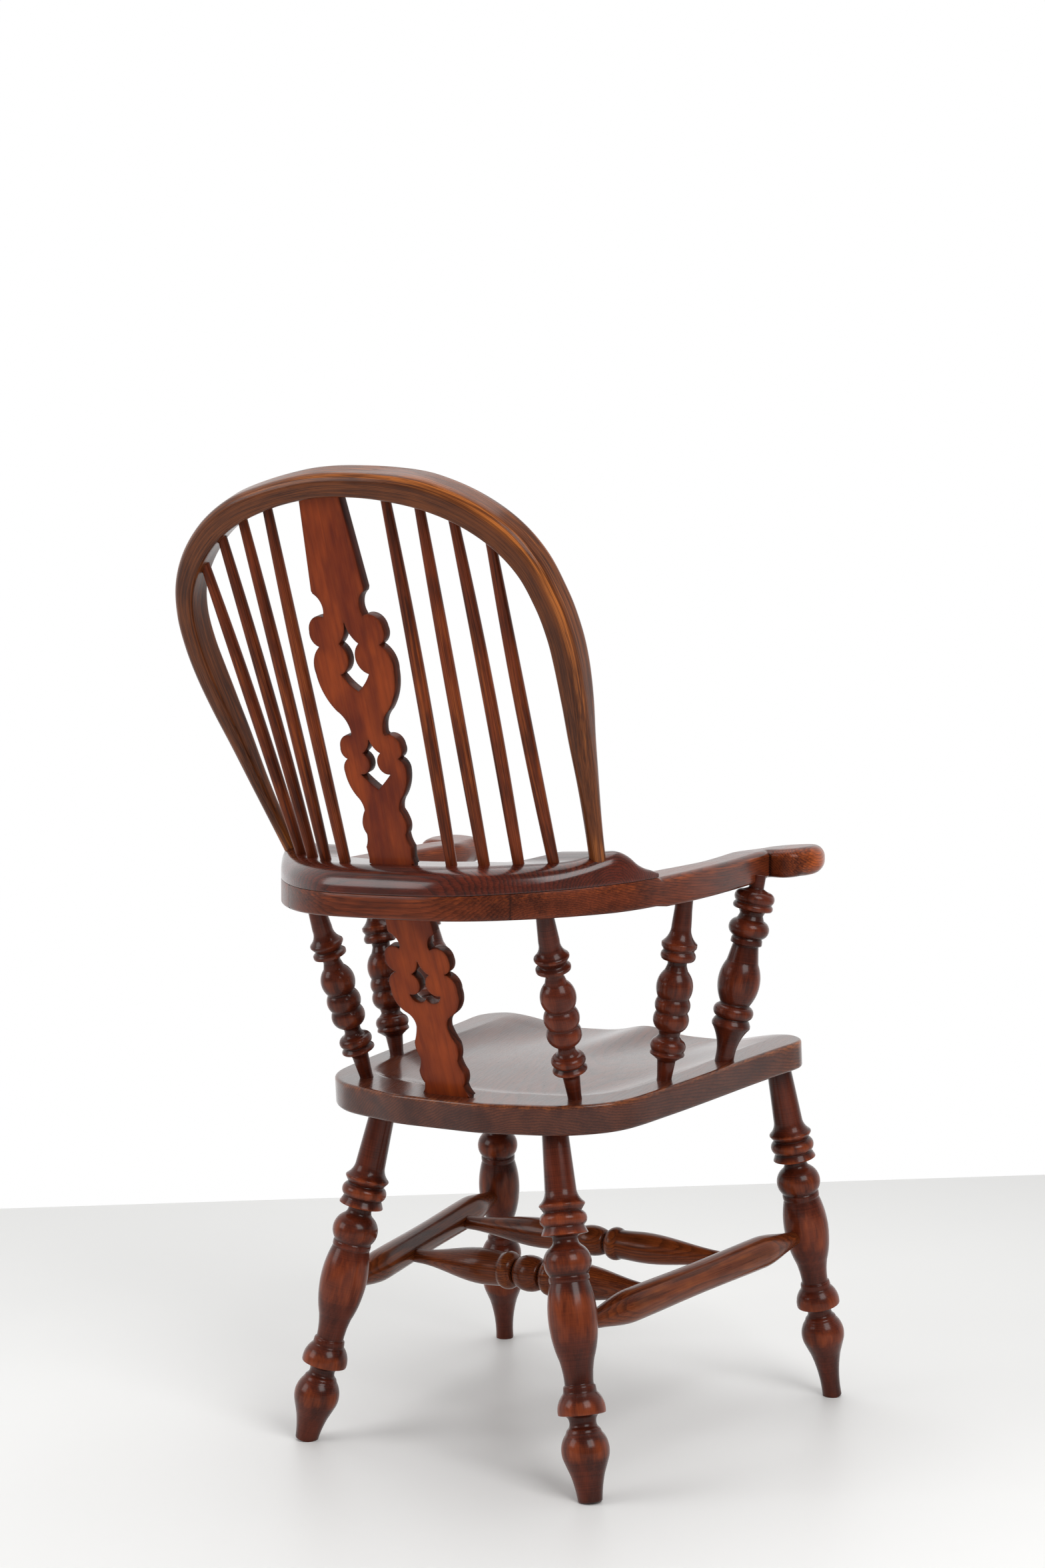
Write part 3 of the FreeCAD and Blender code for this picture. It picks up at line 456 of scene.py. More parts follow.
for rank, (where, toe) in enumerate((("rear", 0.0), ("front", 29.1))):
    spot, rake = leg_lines[where]
    rise = (seat_high - seat_thick / math.cos(tilt) - spot[1] * seat_fall) / (1 + rake[1] * seat_fall)
    seated = rise * np.linalg.norm(rake)
    path = [(0.0, 0.0), (0.0, 12.6 - 0.05 * toe), (0.8, 13.4 - 0.05 * toe)]
    path += sized(leg_turning, (seated - toe) / 401.0, toe)
    path += [(seated - 2, 14.7), (seated + 12, 14.7), (seated + 12, 0)]
    for hand, sign in hands:
        # the foot of the right front leg stands out by its splay, and the leg is bent back to its socket
        splay = 2.0 * (where == "front") * (hand == "right")
        foot = (spot + (splay, 0.03 * splay, 0)) * (sign, 1, 1)
        head = foot + (rake - (splay / 204, 0, 0)) * (sign, 1, 1)
        leg = turned("leg_%s_%s" % (where, hand), path, foot, head, leg_wood,
                     11 + 2 * rank + (sign > 0), bend=-1.1 * splay)
        spots = np.array([v.co for v in leg.data.vertices])
        spots[:, 2] = np.maximum(spots[:, 2], 0.0)
        leg.data.vertices.foreach_set("co", spots.ravel())

# Stretchers: two turned side stretchers tie the legs, and two cross stretchers are pegged into their swells.
# They are ash, less stained than the legs, so the yellow grain shows through.

stretcher_wood = stained("stretcher_ash", 0.3, 0.6, stain=(72, 29, 12), warm=(122, 58, 24), bare=(162, 92, 40),
                         ring_size=0.0026, ring_depth=0.42, pore_depth=0.25, cloud=0.5, streak=0.35, wear=0.5,
                         gloss=0.28, lathe=0.1)


def swelling(knots):
    """Radius along a turned stretcher: between each two knots it changes by the smooth cubic 3t2 - 2t3."""
    path = []
    for (s0, r0), (s1, r1) in zip(knots[:-1], knots[1:]):
        t = np.linspace(0, 1, 13)[:-1]
        path += [(s0 + (s1 - s0) * v, r0 + (r1 - r0) * v * v * (3 - 2 * v)) for v in t]
    return path + [knots[-1]]


side_a, side_b = (spot + rake * high for (spot, rake), high in ((leg_lines["rear"], 178), (leg_lines["front"], 208)))
side_run = np.linalg.norm(side_b - side_a)
side_path = [(11, 0), (11, 8.8)] + swelling([
    (20, 8.9), (98, 19.0), (0.5 * side_run, 18.0), (side_run - 98, 19.0), (side_run - 20, 8.9),
]) + [(side_run - 11, 8.8), (side_run - 11, 0)]
for hand, sign in hands:
    turned("stretcher_side_%s" % hand, side_path, side_a * (sign, 1, 1), side_b * (sign, 1, 1),
           stretcher_wood, 30 + sign, rub_gain=0.5)
for where, hub_y, seed, fat, sag in (("rear", 67, 41, 21.6, 4.8), ("front", -76, 44, 18.9, 2.4)):
    hub = side_a + (side_b - side_a) * (side_a[1] - hub_y) / (side_a[1] - side_b[1]) - (0, 0, sag)
    half = hub[0]
    rising = swelling([(7, 8.0), (22, 8.6), (half * 0.64, fat), (half * 0.8, fat * 0.94)])
    ball = [
        (half * 0.88, fat * 0.9, half * 0.897, fat * 0.6), (half * 0.90, fat * 0.58), (half * 0.915, fat * 0.8),
        (half, fat, half * 1.085, fat * 0.8), (half * 1.10, fat * 0.58), (half * 1.103, fat * 0.6),
        (half * 1.12, fat * 0.9, half * 1.2, fat * 0.94),
    ]
    falling = [(2 * half - s, r) for s, r in rising[::-1][1:]]
    turned("stretcher_cross_%s" % where, [(7, 0)] + rising + ball + falling + [(2 * half - 7, 0)],
           hub, hub * (-1, 1, 1), stretcher_wood, seed, rub_gain=0.5)

# Arm supports and spindles: one stout baluster under each hand and two lighter ones behind it.
# They are socketed into the seat's margin and into the underside of the arm bow.

arm_low, arm_fall = 652.2, 0.0625


def seat_plane(x, y):
    """Height of the seat's flat margin."""
    return seat_high - y * seat_fall


def arm_under(x, y):
    """Height of the arm bow's underside, a plane that falls towards the back."""
    return arm_low - arm_fall * y


support_turning = [
    (23, 13.4, 38, 20.3), (41.5, 22.9), (44.8, 23.0), (49.6, 20.6), (51.2, 18.9), (59.8, 24.0, 67.0, 18.4),
    (68.4, 17.4), (88.9, 24.7, 118, 19.0), (139, 15.2), (140, 18.8), (146, 18.4), (148, 17.0),
    (158.7, 24.0, 169, 16.0), (175, 13.6), (180, 16.0), (181, 22.4), (185, 23.6, 188.6, 20.8),
    (196.3, 23.6, 203, 15.5), (206, 8.9),
]
spindle_turning = [
    (27, 9.8), (31.5, 13.0), (33, 19.7), (35, 19.4), (38.8, 15.0), (44.3, 19.5, 50.5, 13.6),
    (57.3, 9.6, 61, 10.6), (75, 19.7, 82, 16.6), (93, 19.9, 101.5, 15.6), (115.7, 20.0, 130, 12.4),
    (137.5, 10.0), (143, 11.6), (144, 19.4), (147.5, 19.6), (151, 15.0), (157.5, 19.9), (159.5, 19.4),
    (165, 14.0, 175, 11.8),
]
middle_turning = [
    (22, 10.6), (26.5, 16.8), (28.4, 20.0), (31.2, 19.6), (32.6, 18.4), (39.4, 20.3, 46, 15.0), (49.8, 11.7),
    (54.5, 12.8), (67, 20.6, 75.5, 17.8), (83.5, 20.4, 90.8, 17.8), (105.5, 20.9, 121, 13.4), (127.7, 10.9),
    (131.6, 11.3), (132.6, 17.8), (137.4, 20.2, 142.8, 17.6), (144, 17.8), (147.2, 20.4), (151.5, 20.6),
    (158.5, 14.2, 170, 11.4), (188, 10.2),
]
for name, turning, pattern, base_r, head_r, foot_xy, head_xy in (
    ("support_front", support_turning, 213.5, 11.2, 8.9, (205.5, -38), (245.5, -46)),
    ("spindle_arm_rear", spindle_turning, 204.0, 7.9, 9.0, (145, 198), (157.5, 279)),
    ("spindle_arm_middle", middle_turning, 204.0, 8.6, 9.6, (190, 78), (222, 86)),
):
    foot, head = np.array([*foot_xy, seat_plane(*foot_xy)]), np.array([*head_xy, arm_under(*head_xy)])
    span = np.linalg.norm(head - foot)
    path = [(-14, 0), (-14, base_r), (4, base_r)] + sized(turning, span / pattern)
    path += [(span + 9, head_r), (span + 9, 0)]
    for hand, sign in hands:
        turned("%s_%s" % (name, hand), path, foot * (sign, 1, 1), head * (sign, 1, 1), leg_wood,
               50 + len(name) * 3 + sign, rub_gain=0.55)

# Arm bow: sawn from three thick boards butted end to end, two side arms and a back length.
# Each arm ends in a rounded knuckle with an extra ear glued to its outer face.
# The outer edges are rubbed orange, and the tops are polished by hands.

arm_wood = stained("arm_elm", 0.35, 0.5, stain=(64, 27, 15), warm=(112, 50, 26), bare=(164, 78, 32),
                   ring_size=0.0024, ring_depth=0.34, pore_depth=0.4, cloud=0.55, streak=0.45, wear=0.7, gloss=0.3)
arm_thick = 26
outer_line = eased([
    (0, 370), (50, 369), (82, 365.5), (112, 356), (140, 341), (166, 321.5), (190, 299), (206, 280),
    (221, 259), (232, 238), (241, 206), (247, 160), (251, 117), (252, 63), (250, 5), (246, -50), (242, -84),
])
inner_line = eased([
    (207, -122), (202, -96), (200, -60), (204, -15), (206, 30), (201, 72), (194, 108), (187, 145),
    (179, 185), (168, 216), (149, 247), (120, 274), (84, 296), (45, 306), (0, 309),
])[::-1]
ear_line = trace([(242, -84), (250, -83), (269, -87, 281, -103), (287.2, -124, 283, -147),
                  (272, -164, 250, -168)], 1.0)
palm_line = trace([(250, -168), (221, -155, 207, -122)], 1.0)[::-1]
joint_in, joint_out, joint_gap = np.array([114.0, 284]), np.array([150.0, 334]), 0.06
joint_dir = unit(joint_out - joint_in)


def past_joint(spots):
    """Distance of each spot in plan beyond the joint's plane."""
    return (spots - joint_in) @ (joint_dir[1], -joint_dir[0])


def crossed(line, side):
    """Where side turns positive along a line: the next point's number, and the exact place."""
    k = int(np.argmax(side > 0))
    share = side[k - 1] / (side[k - 1] - side[k])
    return k, line[k - 1] + (line[k] - line[k - 1]) * share


def side_arm(line):
    """Part of a line beyond the joint."""
    k, start = crossed(line, past_joint(line) - joint_gap)
    return np.vstack([[start], line[k:]])


def arm_top(x, y):
    """Top of the arm bow: 26 mm over its sloping underside, rising towards the sides as a wide arc."""
    return arm_under(x, y) + arm_thick + x * x / 11060


def rolled(d, wide, deep):
    """Drop of a rounded edge at distance d inside it: a quarter ellipse, wide across and deep down."""
    t = np.clip(1 - d / wide, 0, 1)
    return deep * (1 - np.sqrt(1 - t * t))


def slab(outer, inner, top_of, under_of, outer_roll, inner_roll, columns=27, edge=None):
    """Board between two rails. Each station's ring runs over the top and back along the underside;
    heights drop near the long edges by a quarter ellipse of the distance from them.
    Rolls are (wide, deep) of the top edge and (wide, deep) of the lower edge at each spot."""
    edge = np.vstack([outer, inner[::-1]]) if edge is None else edge
    share = 0.5 - 0.5 * np.cos(np.linspace(0, math.pi, columns))
    plan = outer[:, None] + (inner - outer)[:, None] * share[None, :, None]
    x, y = plan[..., 0], plan[..., 1]
    d = away(plan, edge)
    d[:, 0] = d[:, -1] = 0
    toward = (away(plan, outer) <= away(plan, inner))[..., None]
    roll = np.where(toward, outer_roll(x, y), inner_roll(x, y))
    wide_top, deep_top, wide_low, deep_low = np.moveaxis(roll, -1, 0)
    top = top_of(x, y) - rolled(d, wide_top, deep_top)
    low = under_of(x, y) + rolled(d, wide_low, deep_low)
    levels = np.linspace(0, 1, 5)[1:-1]
    wall_out = low[:, :1] + (top - low)[:, :1] * levels
    wall_in = top[:, -1:] + (low - top)[:, -1:] * levels
    zs = np.hstack([top, wall_in, low[:, ::-1], wall_out])
    pick = np.hstack([np.arange(columns), np.full(3, columns - 1), np.arange(columns)[::-1], np.zeros(3, int)])
    rings = np.dstack([plan[:, pick], zs])
    return rings, d[:, pick]


def hand_top(x, y):
    """Top of a side arm: from the crest forward it rises by up to 2.6 mm against the line of the bow."""
    return arm_top(x, y) + np.interp(-y, [-184, -170, -100, -20, 60, 100, 170], [0, -0.5, 0.5, 1.2, 2.6, 2.0, 1.6])


def hand_under(x, y):
    """Underside of a side arm: it sags by up to 2.4 mm behind and is raised under the hand."""
    return arm_under(x, y) + np.interp(-y, [-184, -165, -60, 60, 100, 170], [0, -2.4, -2.0, -1.2, 0.4, 0.8])


def arm_rolls(x, y):
    """Rounding of the arm's long edges: a half round at the ear, and crisp under the crest."""
    under_crest = step_up(y, 176, 186)
    knuckle = step_up(-y, 70, 110)
    wide = 8.5 - 7.6 * under_crest + 6.5 * knuckle
    deep = 6.5 - 5.6 * under_crest + 9.0 * knuckle
    low = 3.6 + 9.4 * knuckle
    return np.stack([wide, deep, low, low + 2.0 * knuckle], -1)


def arm_marks(rings, d):
    """Rub and soil of the arm bow: rubbed along its long edges and outer face, dark in its joints."""
    x, y, z = np.moveaxis(rings, -1, 0)
    up = (z - arm_under(x, y)) / (arm_top(x, y) - arm_under(x, y))
    shoulder = np.exp(-((up - 0.86) / 0.13) ** 2) * (d < 6)
    ear = step_up(-y, 83, 87) * step_up(np.abs(x), 241, 245)
    ear_rub = ear * (0.3 + 1.1 * np.exp(-((up - 0.5) / 0.3) ** 2) * step_up(-y, 92, 130))
    rub = 0.35 * shoulder + 0.15 * (d < 0.5) * np.clip(up, 0, 1) + ear_rub
    soil = 0.8 * (np.abs(past_joint(np.stack([np.abs(x), y], -1))) < 0.35)
    soil = soil + 1.2 * np.exp(-((y + 84) ** 2 + (np.abs(x) - 242.5) ** 2) / 9.0)
    return rub, soil


cut = int(np.argmin(np.hypot(*(inner_line - (203.5, -112)).T)))
palm = np.vstack([inner_line[cut:], palm_line[1:]])
outer_arm, inner_arm = side_arm(outer_line), side_arm(inner_line[: cut + 1])
arm_edge = np.vstack([outer_arm, ear_line[1:], palm[::-1][1:], inner_arm[::-1][1:]])
body_share = np.linspace(0, 1, 150)
tip_share = 0.999 * np.sin(np.linspace(0, math.pi / 2, 70)[1:-1])
outer_rail = np.vstack([spaced(outer_arm, body_share), spaced(ear_line, tip_share)])
inner_rail = np.vstack([spaced(inner_arm, body_share), spaced(palm, tip_share)])
arm_rings, arm_d = slab(outer_rail, inner_rail, hand_top, hand_under, arm_rolls, arm_rolls, 35, arm_edge)
for hand, sign in hands:
    rings = arm_rings * (sign, 1, 1)
    rub, soil = arm_marks(rings, arm_d)
    x, y, z = np.moveaxis(rings, -1, 0)
    grain = np.stack([x - sign * 185, z - 590, y + 3000 * sign], -1) * mm
    wooden("arm_%s_sawn" % hand, ["arm_%s" % hand], skin(rings), spread(grain), spread(rub), spread(soil),
           arm_wood, 50)


def up_to(line, side):
    """Both halves of a line, from the middle to where side turns positive."""
    k, end = crossed(line, side)
    return both_sides(np.vstack([line[:k], [end]]))


back_out, back_in = (spaced(up_to(line, past_joint(line) + joint_gap), np.linspace(0, 1, 120))
                     for line in (outer_line, inner_line))
rings, d = slab(back_out, back_in, arm_top, arm_under, arm_rolls, arm_rolls)
rub, soil = arm_marks(rings, d)
x, y, z = np.moveaxis(rings, -1, 0)
wooden("arm_back_sawn", ["arm_back"], skin(rings), spread(np.stack([y - 280, z - 600, x], -1) * mm),
       spread(rub), spread(soil), arm_wood, 50)

# Crest: a thick block glued on the arm bow behind the sitter's back, flush with the bow's outer face.
# Its rear top edge is one big roll, polished by handling, and each end runs down in an ogee.
# The sticks and the bent bow are socketed into its flat top.

crest_wood = stained("crest_elm", 0.45, 1.0, 1.42, stain=(54, 18, 9), warm=(98, 34, 17), bare=(146, 74, 36),
                     ring_size=0.0030, ring_depth=0.5, pore_depth=0.5, cloud=0.5, streak=0.3, wear=0.4, gloss=0.24)
crest_inner = eased([(180, 150), (172, 205), (155, 238), (128, 268), (92, 292), (48, 305), (0, 308)])[::-1]
crest_end, crest_fall, splat_y = 184.0, 0.0778, 342
crest_plane = arm_low + arm_thick + 30.2 + (crest_fall - arm_fall) * splat_y
ogee = eased([(-10, 4.6), (0, 6.0), (10, 9.8), (20, 13.4), (30, 19.6), (40, 29.0), (50, 34.4), (60, 35.2),
              (75, 32.4), (90, 29.2), (106, 28.0), (116, 27.8)])


def crest_flat(y):
    """Height of the crest's flat top, which falls towards the back: 30.2 mm over the arm bow at the splat."""
    return crest_plane - crest_fall * y


def crest_top(x, y):
    """Top of the crest: flat behind, swelling by 8 mm before the feet of the bow and then running down
    to the ends, by heights over the arm bow that are read from the ogee."""
    ends = arm_top(x, y) + np.interp(y - crest_end, ogee[:, 0], ogee[:, 1])
    share = step_up(y, crest_end + 96, crest_end + 116)
    return ends + (crest_flat(y) - ends) * share


def crest_outer_roll(x, y):
    """Big roll of the rear edge, which shrinks to the ends and with the height of the ogee."""
    tall = crest_top(x, y) - arm_top(x, y)
    back = 0.55 + 0.45 * step_up(y, 250, 325)
    return np.stack(np.broadcast_arrays(np.clip(tall, 3, 25) * back, 0.8 * tall * back, 0.8, 0.8), -1)


def crest_inner_roll(x, y):
    """Small roll of the edge against the sitter's back."""
    tall = crest_top(x, y) - arm_top(x, y)
    return np.stack(np.broadcast_arrays(2.6, np.clip(tall * 0.5, 1, 2.6), 0.8, 0.8), -1)


crest_out, crest_in = (spaced(up_to(line, crest_end - line[:, 1]), np.linspace(0, 1, 260))
                       for line in (outer_line, crest_inner))
rings, d = slab(crest_out, crest_in, crest_top, lambda x, y: arm_top(x, y) + 0.1, crest_outer_roll,
                crest_inner_roll, 41)
x, y, z = np.moveaxis(rings, -1, 0)
from_rear = away(rings[..., :2], crest_out)
rub = 0.5 * np.exp(-((from_rear - 7) / 7) ** 2) * (z > arm_top(x, y) + 4) + 0.3 * (np.abs(y - crest_end) < 2)
soil = 0.7 * (z < arm_top(x, y) + 0.9) * (d < 2)
wooden("arm_crest_shaped", ["arm_crest"], skin(rings),
       spread(np.stack([y - 250, z - 660, x + 5000], -1) * mm), spread(rub), spread(soil), crest_wood, 50)

# Splats: two boards sawn to one pattern, from the seat to the arm bow and from the crest to the top of the bow.
# Each is pierced with pointed openings, and its sawn edges are eased. The face is evenly stained, the edges dark.

splat_wood = stained("splat_beech", 0.2, 0.3, stain=(96, 31, 9), warm=(146, 61, 19), bare=(166, 84, 34),
                     ring_size=0.0050, ring_depth=0.12, pore_depth=0.12, cloud=0.7, streak=0.15, wear=0.25,
                     gloss=0.32)


def whole(half):
    """Closed outline from its half on the left, by mirroring it."""
    line = trace(half, 1.3)
    return np.vstack([line, line[::-1][1:-1] * (-1, 1)])


def within(spots, loop):
    """Whether each spot lies inside a closed outline: an upward ray crosses it an odd number of times."""
    a, b = loop, np.roll(loop, -1, 0)
    x, y = spots[:, 0:1], spots[:, 1:2]
    spans = (a[:, 0] > x) != (b[:, 0] > x)
    rise = a[:, 1] + (x - a[:, 0]) * (b[:, 1] - a[:, 1]) / np.where(b[:, 0] == a[:, 0], 1e-9, b[:, 0] - a[:, 0])
    return (spans & (rise > y)).sum(1) % 2 == 1


def sawn_board(node, outline, holes, foot, lean, finish, seed, skew, thick=12.0, ease=1.1):
    """Board sawn to an outline with piercings. Both faces are triangulated over the outline, two lines
    inside it and a lattice of points; the faces drop near the outline by a quarter circle. Each level is
    moved sideways by the skew: shares of the height, and what they are moved by."""
    loops = [whole(outline)] + [whole(hole) for hole in holes]

    def depth(spots):
        return np.min([away(spots, np.vstack([loop, loop[:1]])) for loop in loops], 0)

    def on_board(spots):
        keep = within(spots, loops[0])
        for hole in loops[1:]:
            keep &= ~within(spots, hole)
        return keep

    low, high = loops[0].min(0), loops[0].max(0)
    gx, gy = np.meshgrid(np.arange(low[0], high[0], 3.0), np.arange(low[1], high[1], 3.0))
    lattice = np.stack([gx.ravel() + 0.7, gy.ravel() + 0.4], -1)
    lattice = lattice[on_board(lattice)]
    lattice = lattice[depth(lattice) > ease + 1.2]
    inner, edges, inward = [], [], []
    for k, loop in enumerate(loops):
        for inset in (0.35 * ease, -0.35 * ease, ease, -ease):
            spots = loop + square_to(loop) * inset
            spots = spots[on_board(spots)]
            inner.append(spots[depth(spots) > abs(inset) * 0.93])
        n, ahead = len(loop), np.roll(loop, -1, 0)
        anticlockwise = np.sum(loop[:, 0] * ahead[:, 1] - ahead[:, 0] * loop[:, 1]) > 0
        inward += [anticlockwise == (k > 0)] * n
        start = len(edges)
        edges += [(start + i, start + (i + 1) % n) for i in range(n)]
    plan = np.vstack(loops + inner + [lattice])
    made = geometry.delaunay_2d_cdt([Vector(p) for p in plan], edges, [], 0, 1e-5)
    plan, tris = np.array([tuple(p) for p in made[0]]), np.array(made[2])
    tris = tris[on_board(plan[tris].mean(1))]
    ab, ac = plan[tris[:, 1]] - plan[tris[:, 0]], plan[tris[:, 2]] - plan[tris[:, 0]]
    clockwise = ab[:, 0] * ac[:, 1] - ab[:, 1] * ac[:, 0] < 0
    tris[clockwise] = tris[clockwise][:, ::-1]
    ring, inward, count = np.array(edges), np.array(inward), len(plan)
    quads = np.stack([ring[:, 0], ring[:, 1], ring[:, 1] + count, ring[:, 0] + count], -1)
    quads[inward] = quads[inward][:, ::-1]
    d = depth(plan)
    d[: len(edges)] = 0
    drop = rolled(d, ease, ease)
    up = np.array([0, lean, 1.0]) / math.hypot(1, lean)
    out = np.array([0, 1.0, -lean]) / math.hypot(1, lean)
    askew = np.interp(plan[:, 1:] / high[1], *skew)
    spot = foot + (plan[:, :1] + askew) * np.array([1.0, 0, 0]) + plan[:, 1:] * up
    layer = np.hstack([-drop, drop - thick])
    both = np.vstack([plan, plan])
    chance = np.random.default_rng(seed)
    grain = np.stack([both[:, 0] * mm + chance.uniform(-0.02, 0.02), layer * mm + 0.045,
                      both[:, 1] * mm + chance.uniform(0, 9)], -1)
    from_edge = np.hstack([d, d])
    rub = 0.5 * np.exp(-((from_edge - 1.0) / 0.6) ** 2)
    soil = 0.9 * np.exp(-from_edge / 0.7) + 0.2 * np.exp(-from_edge / 5)
    body = np.vstack([spot, spot]) + layer[:, None] * out, quads, np.vstack([tris[:, ::-1], tris + count])
    return wooden(node + "_sawn", [node], body, grain, rub, soil, finish, 35)


def fitted(path, ratio):
    """Outline with its heights scaled."""
    return [tuple(v * ratio if i % 2 else v for i, v in enumerate(item)) for item in path]


bow_lean, bow_top, bow_wide, bow_foot_y = 0.53, 448.0, 25.5, 256
bow_run = math.hypot(1, bow_lean)
bow_foot_z = crest_flat(bow_foot_y)
upper_lean, lower_lean = 0.3124, 0.3498
upper_foot = np.array([0, splat_y, crest_flat(splat_y)])
upper_long = (bow_foot_z + (bow_top - bow_wide / 2) / bow_run - upper_foot[2]) * math.hypot(1, upper_lean)
lower_foot = np.array([0, 240, seat_plane(0, 240)])
lower_long = (arm_under(0, 240) - lower_foot[2]) / (1 + arm_fall * lower_lean) * math.hypot(1, lower_lean)
upper_outline = [
    (26.2, 412), (35.2, 308.5), (33.8, 305), (27.3, 298.5, 25.0, 284), (26.6, 279.6), (43, 277.2, 49.3, 264.5),
    (47.8, 253, 40.6, 246.7), (50.8, 234, 52.3, 217), (47.6, 195, 34.5, 174.5), (24.4, 162, 21.7, 149.4),
    (23.2, 147.4), (34.5, 145.6, 40.6, 134), (39.9, 126, 34.3, 120.6), (39.9, 115, 41.4, 106), (38.2, 91, 30.0, 77),
    (25.2, 69.5, 23.7, 62), (27.4, 55, 29.6, 47.5), (29.2, 41, 26.3, 34.5), (27.1, 27, 30.3, 19.5), (29.0, 7),
    (30.2, 0),
]
upper_piercings = [
    [(0, 272), (4.4, 258.5, 12.6, 249), (4.8, 233, 18.2, 215.2), (9.6, 204.5, 0, 196.8)],
    [(0, 142), (3.9, 133.6, 11.2, 127), (5.0, 116, 19.0, 102.8), (9.2, 93.6, 0, 86)],
]
lower_outline = [
    (30.1, 215), (31.9, 193.5), (30.6, 190.4), (23.0, 185.6, 19.6, 175.4), (21.0, 172.6), (36.5, 173.6, 44.2, 161),
    (42.2, 150.8, 33.6, 144.7), (43.2, 138.5, 46.0, 125.5), (42.6, 107.5, 31.0, 96.4), (23.6, 89.6, 21.6, 80.5),
    (24.6, 71, 28.9, 62), (28.9, 52, 25.8, 43), (27.4, 35.2, 30.9, 28), (30.2, 19, 27.0, 12.6), (28.8, 6.0, 33.0, 0),
]
lower_piercings = [[(0, 158), (4.3, 148.6, 11.3, 143), (4.0, 130, 20.6, 118.5), (10.8, 109.8, 0, 114.6)]]
tenon = 8
for name, outline, piercings, long, pattern, foot, lean, foot_half, seed, skew in (
    ("upper", upper_outline, upper_piercings, upper_long, 412.0, upper_foot, upper_lean, 28.0, 5,
     ((0, 0.12, 0.25, 0.48, 0.72, 1), (0, -0.8, -2.2, -0.5, 1.7, 3.0))),
    ("lower", lower_outline, lower_piercings, lower_long, 215.0, lower_foot, lower_lean, 30.0, 8,
     ((0, 0.5, 1), (0, 0, 1.8))),
):
    shown = fitted(outline, long / pattern)
    path = [(0, long + tenon), (shown[0][0] - 1, long + tenon)] + shown
    path += [(foot_half, 0), (foot_half, -tenon), (0, -tenon)]
    sawn_board("splat_" + name, path, [fitted(p, long / pattern) for p in piercings], foot, lean, splat_wood, seed,
               skew)

# Bow: one ash rod, steamed and bent into a hoop, with its round feet pegged down through the crest.
# It is nearly square above, with its outer rear corner well rounded and rubbed down to the orange wood.
# Its top has sprung to the sitter's right, and it is fuller there and at both shoulders.

bow_wood = stained("bow_ash", 0.4, 0.5, stain=(66, 31, 14), warm=(112, 59, 27), bare=(178, 102, 45),
                   ring_size=0.0014, ring_depth=0.36, pore_depth=0.35, cloud=0.35, streak=0.8, wear=0.85, gloss=0.33)
half_bow = [
    (209, 0), (217, 50), (224, 97), (230.5, 147), (237, 190), (242, 235), (243, 270), (239, 306),
    (227, 342), (203, 375), (168, 404), (126, 425), (78, 439), (35, 446), (0, 448),
]
bow_line = eased(half_bow + [(-x, s) for x, s in half_bow[::-1][1:]])
peg_line = bow_line[0] + unit(bow_line[0] - bow_line[4]) * np.linspace(30, 3, 8)[:, None]
bow_line = np.vstack([peg_line, bow_line, (peg_line * (-1, 1))[::-1]])
bow_line = spaced(bow_line, np.linspace(0, 1, 420))
bow_s = lengths(bow_line)
tangent = np.gradient(bow_line, axis=0)
tangent /= np.linalg.norm(tangent, axis=1)[:, None]
rise = bow_line[:, 1]
grow = step_up(rise, 0, 250)
sprung = 4.2 * step_up(rise, 20, 260) + 4.8 * step_up(rise, 300, 400)
bow_line = bow_line - np.stack([sprung, 0 * rise], 1)
fuller = 1.3 * step_up(-bow_line[:, 0], 20, 130) + 1.5 * step_up(rise, 310, 390) * (1 - step_up(rise, 424, 446))
foot_wide, bow_deep = 16.5, 34
half_a = 0.5 * (foot_wide + (bow_wide - foot_wide) * grow) + fuller
half_b = 0.5 * (foot_wide + (bow_deep - foot_wide) * grow)
quarter = np.linspace(0, math.pi / 2, 8)
arcs = []
for k, (sa, sb, corner) in enumerate(((1, 1, 5.0), (-1, 1, 10.5), (-1, -1, 7.6), (1, -1, 5.0))):
    radius = half_a * 0.98 * (1 - grow) + corner * grow
    t = quarter + k * math.pi / 2
    ca, cb = sa * (half_a - radius), sb * (half_b - radius)
    arcs.append(np.stack([ca[:, None] + radius[:, None] * np.cos(t), cb[:, None] + radius[:, None] * np.sin(t)], -1))
loop = []
for arc, following in zip(arcs, arcs[1:] + arcs[:1]):
    last, first = arc[:, -1:], following[:, :1]
    loop += [arc] + [last + (first - last) * share for share in (0.25, 0.5, 0.75)]
loop = np.hstack(loop)
rise_dir = np.array([0, bow_lean, 1.0]) / bow_run
back_dir = np.array([0, 1.0, -bow_lean]) / bow_run
centre = np.array([0, bow_foot_y, bow_foot_z]) + bow_line[:, :1] * (1, 0, 0) + bow_line[:, 1:] * rise_dir
inward = -tangent[:, 1:] * np.array([1.0, 0, 0]) + tangent[:, :1] * rise_dir
bow_rings = centre[:, None] + (loop[..., :1] - fuller[:, None, None]) * inward[:, None] + loop[..., 1:] * back_dir
a_share, b_share = loop[..., 0] / half_a[:, None], loop[..., 1] / half_b[:, None]
corner_rub = np.exp(-((a_share + 0.88) ** 2 + (b_share - 0.9) ** 2) / 0.07)
outer_rub = 0.22 * step_up(-a_share, 0.7, 1.0) * step_up(rise, 120, 330)[:, None]
foot_rub = 0.38 * (1 - step_up(rise, 8, 60))[:, None]
handled = 0.35 + 0.65 * step_up(-bow_line[:, 0], -110, 60)
rub = corner_rub * (handled * (0.25 + 0.6 * step_up(rise, 40, 260)))[:, None] + outer_rub + foot_rub
soil = 0.5 * (rise < 3)[:, None] * np.ones_like(a_share)
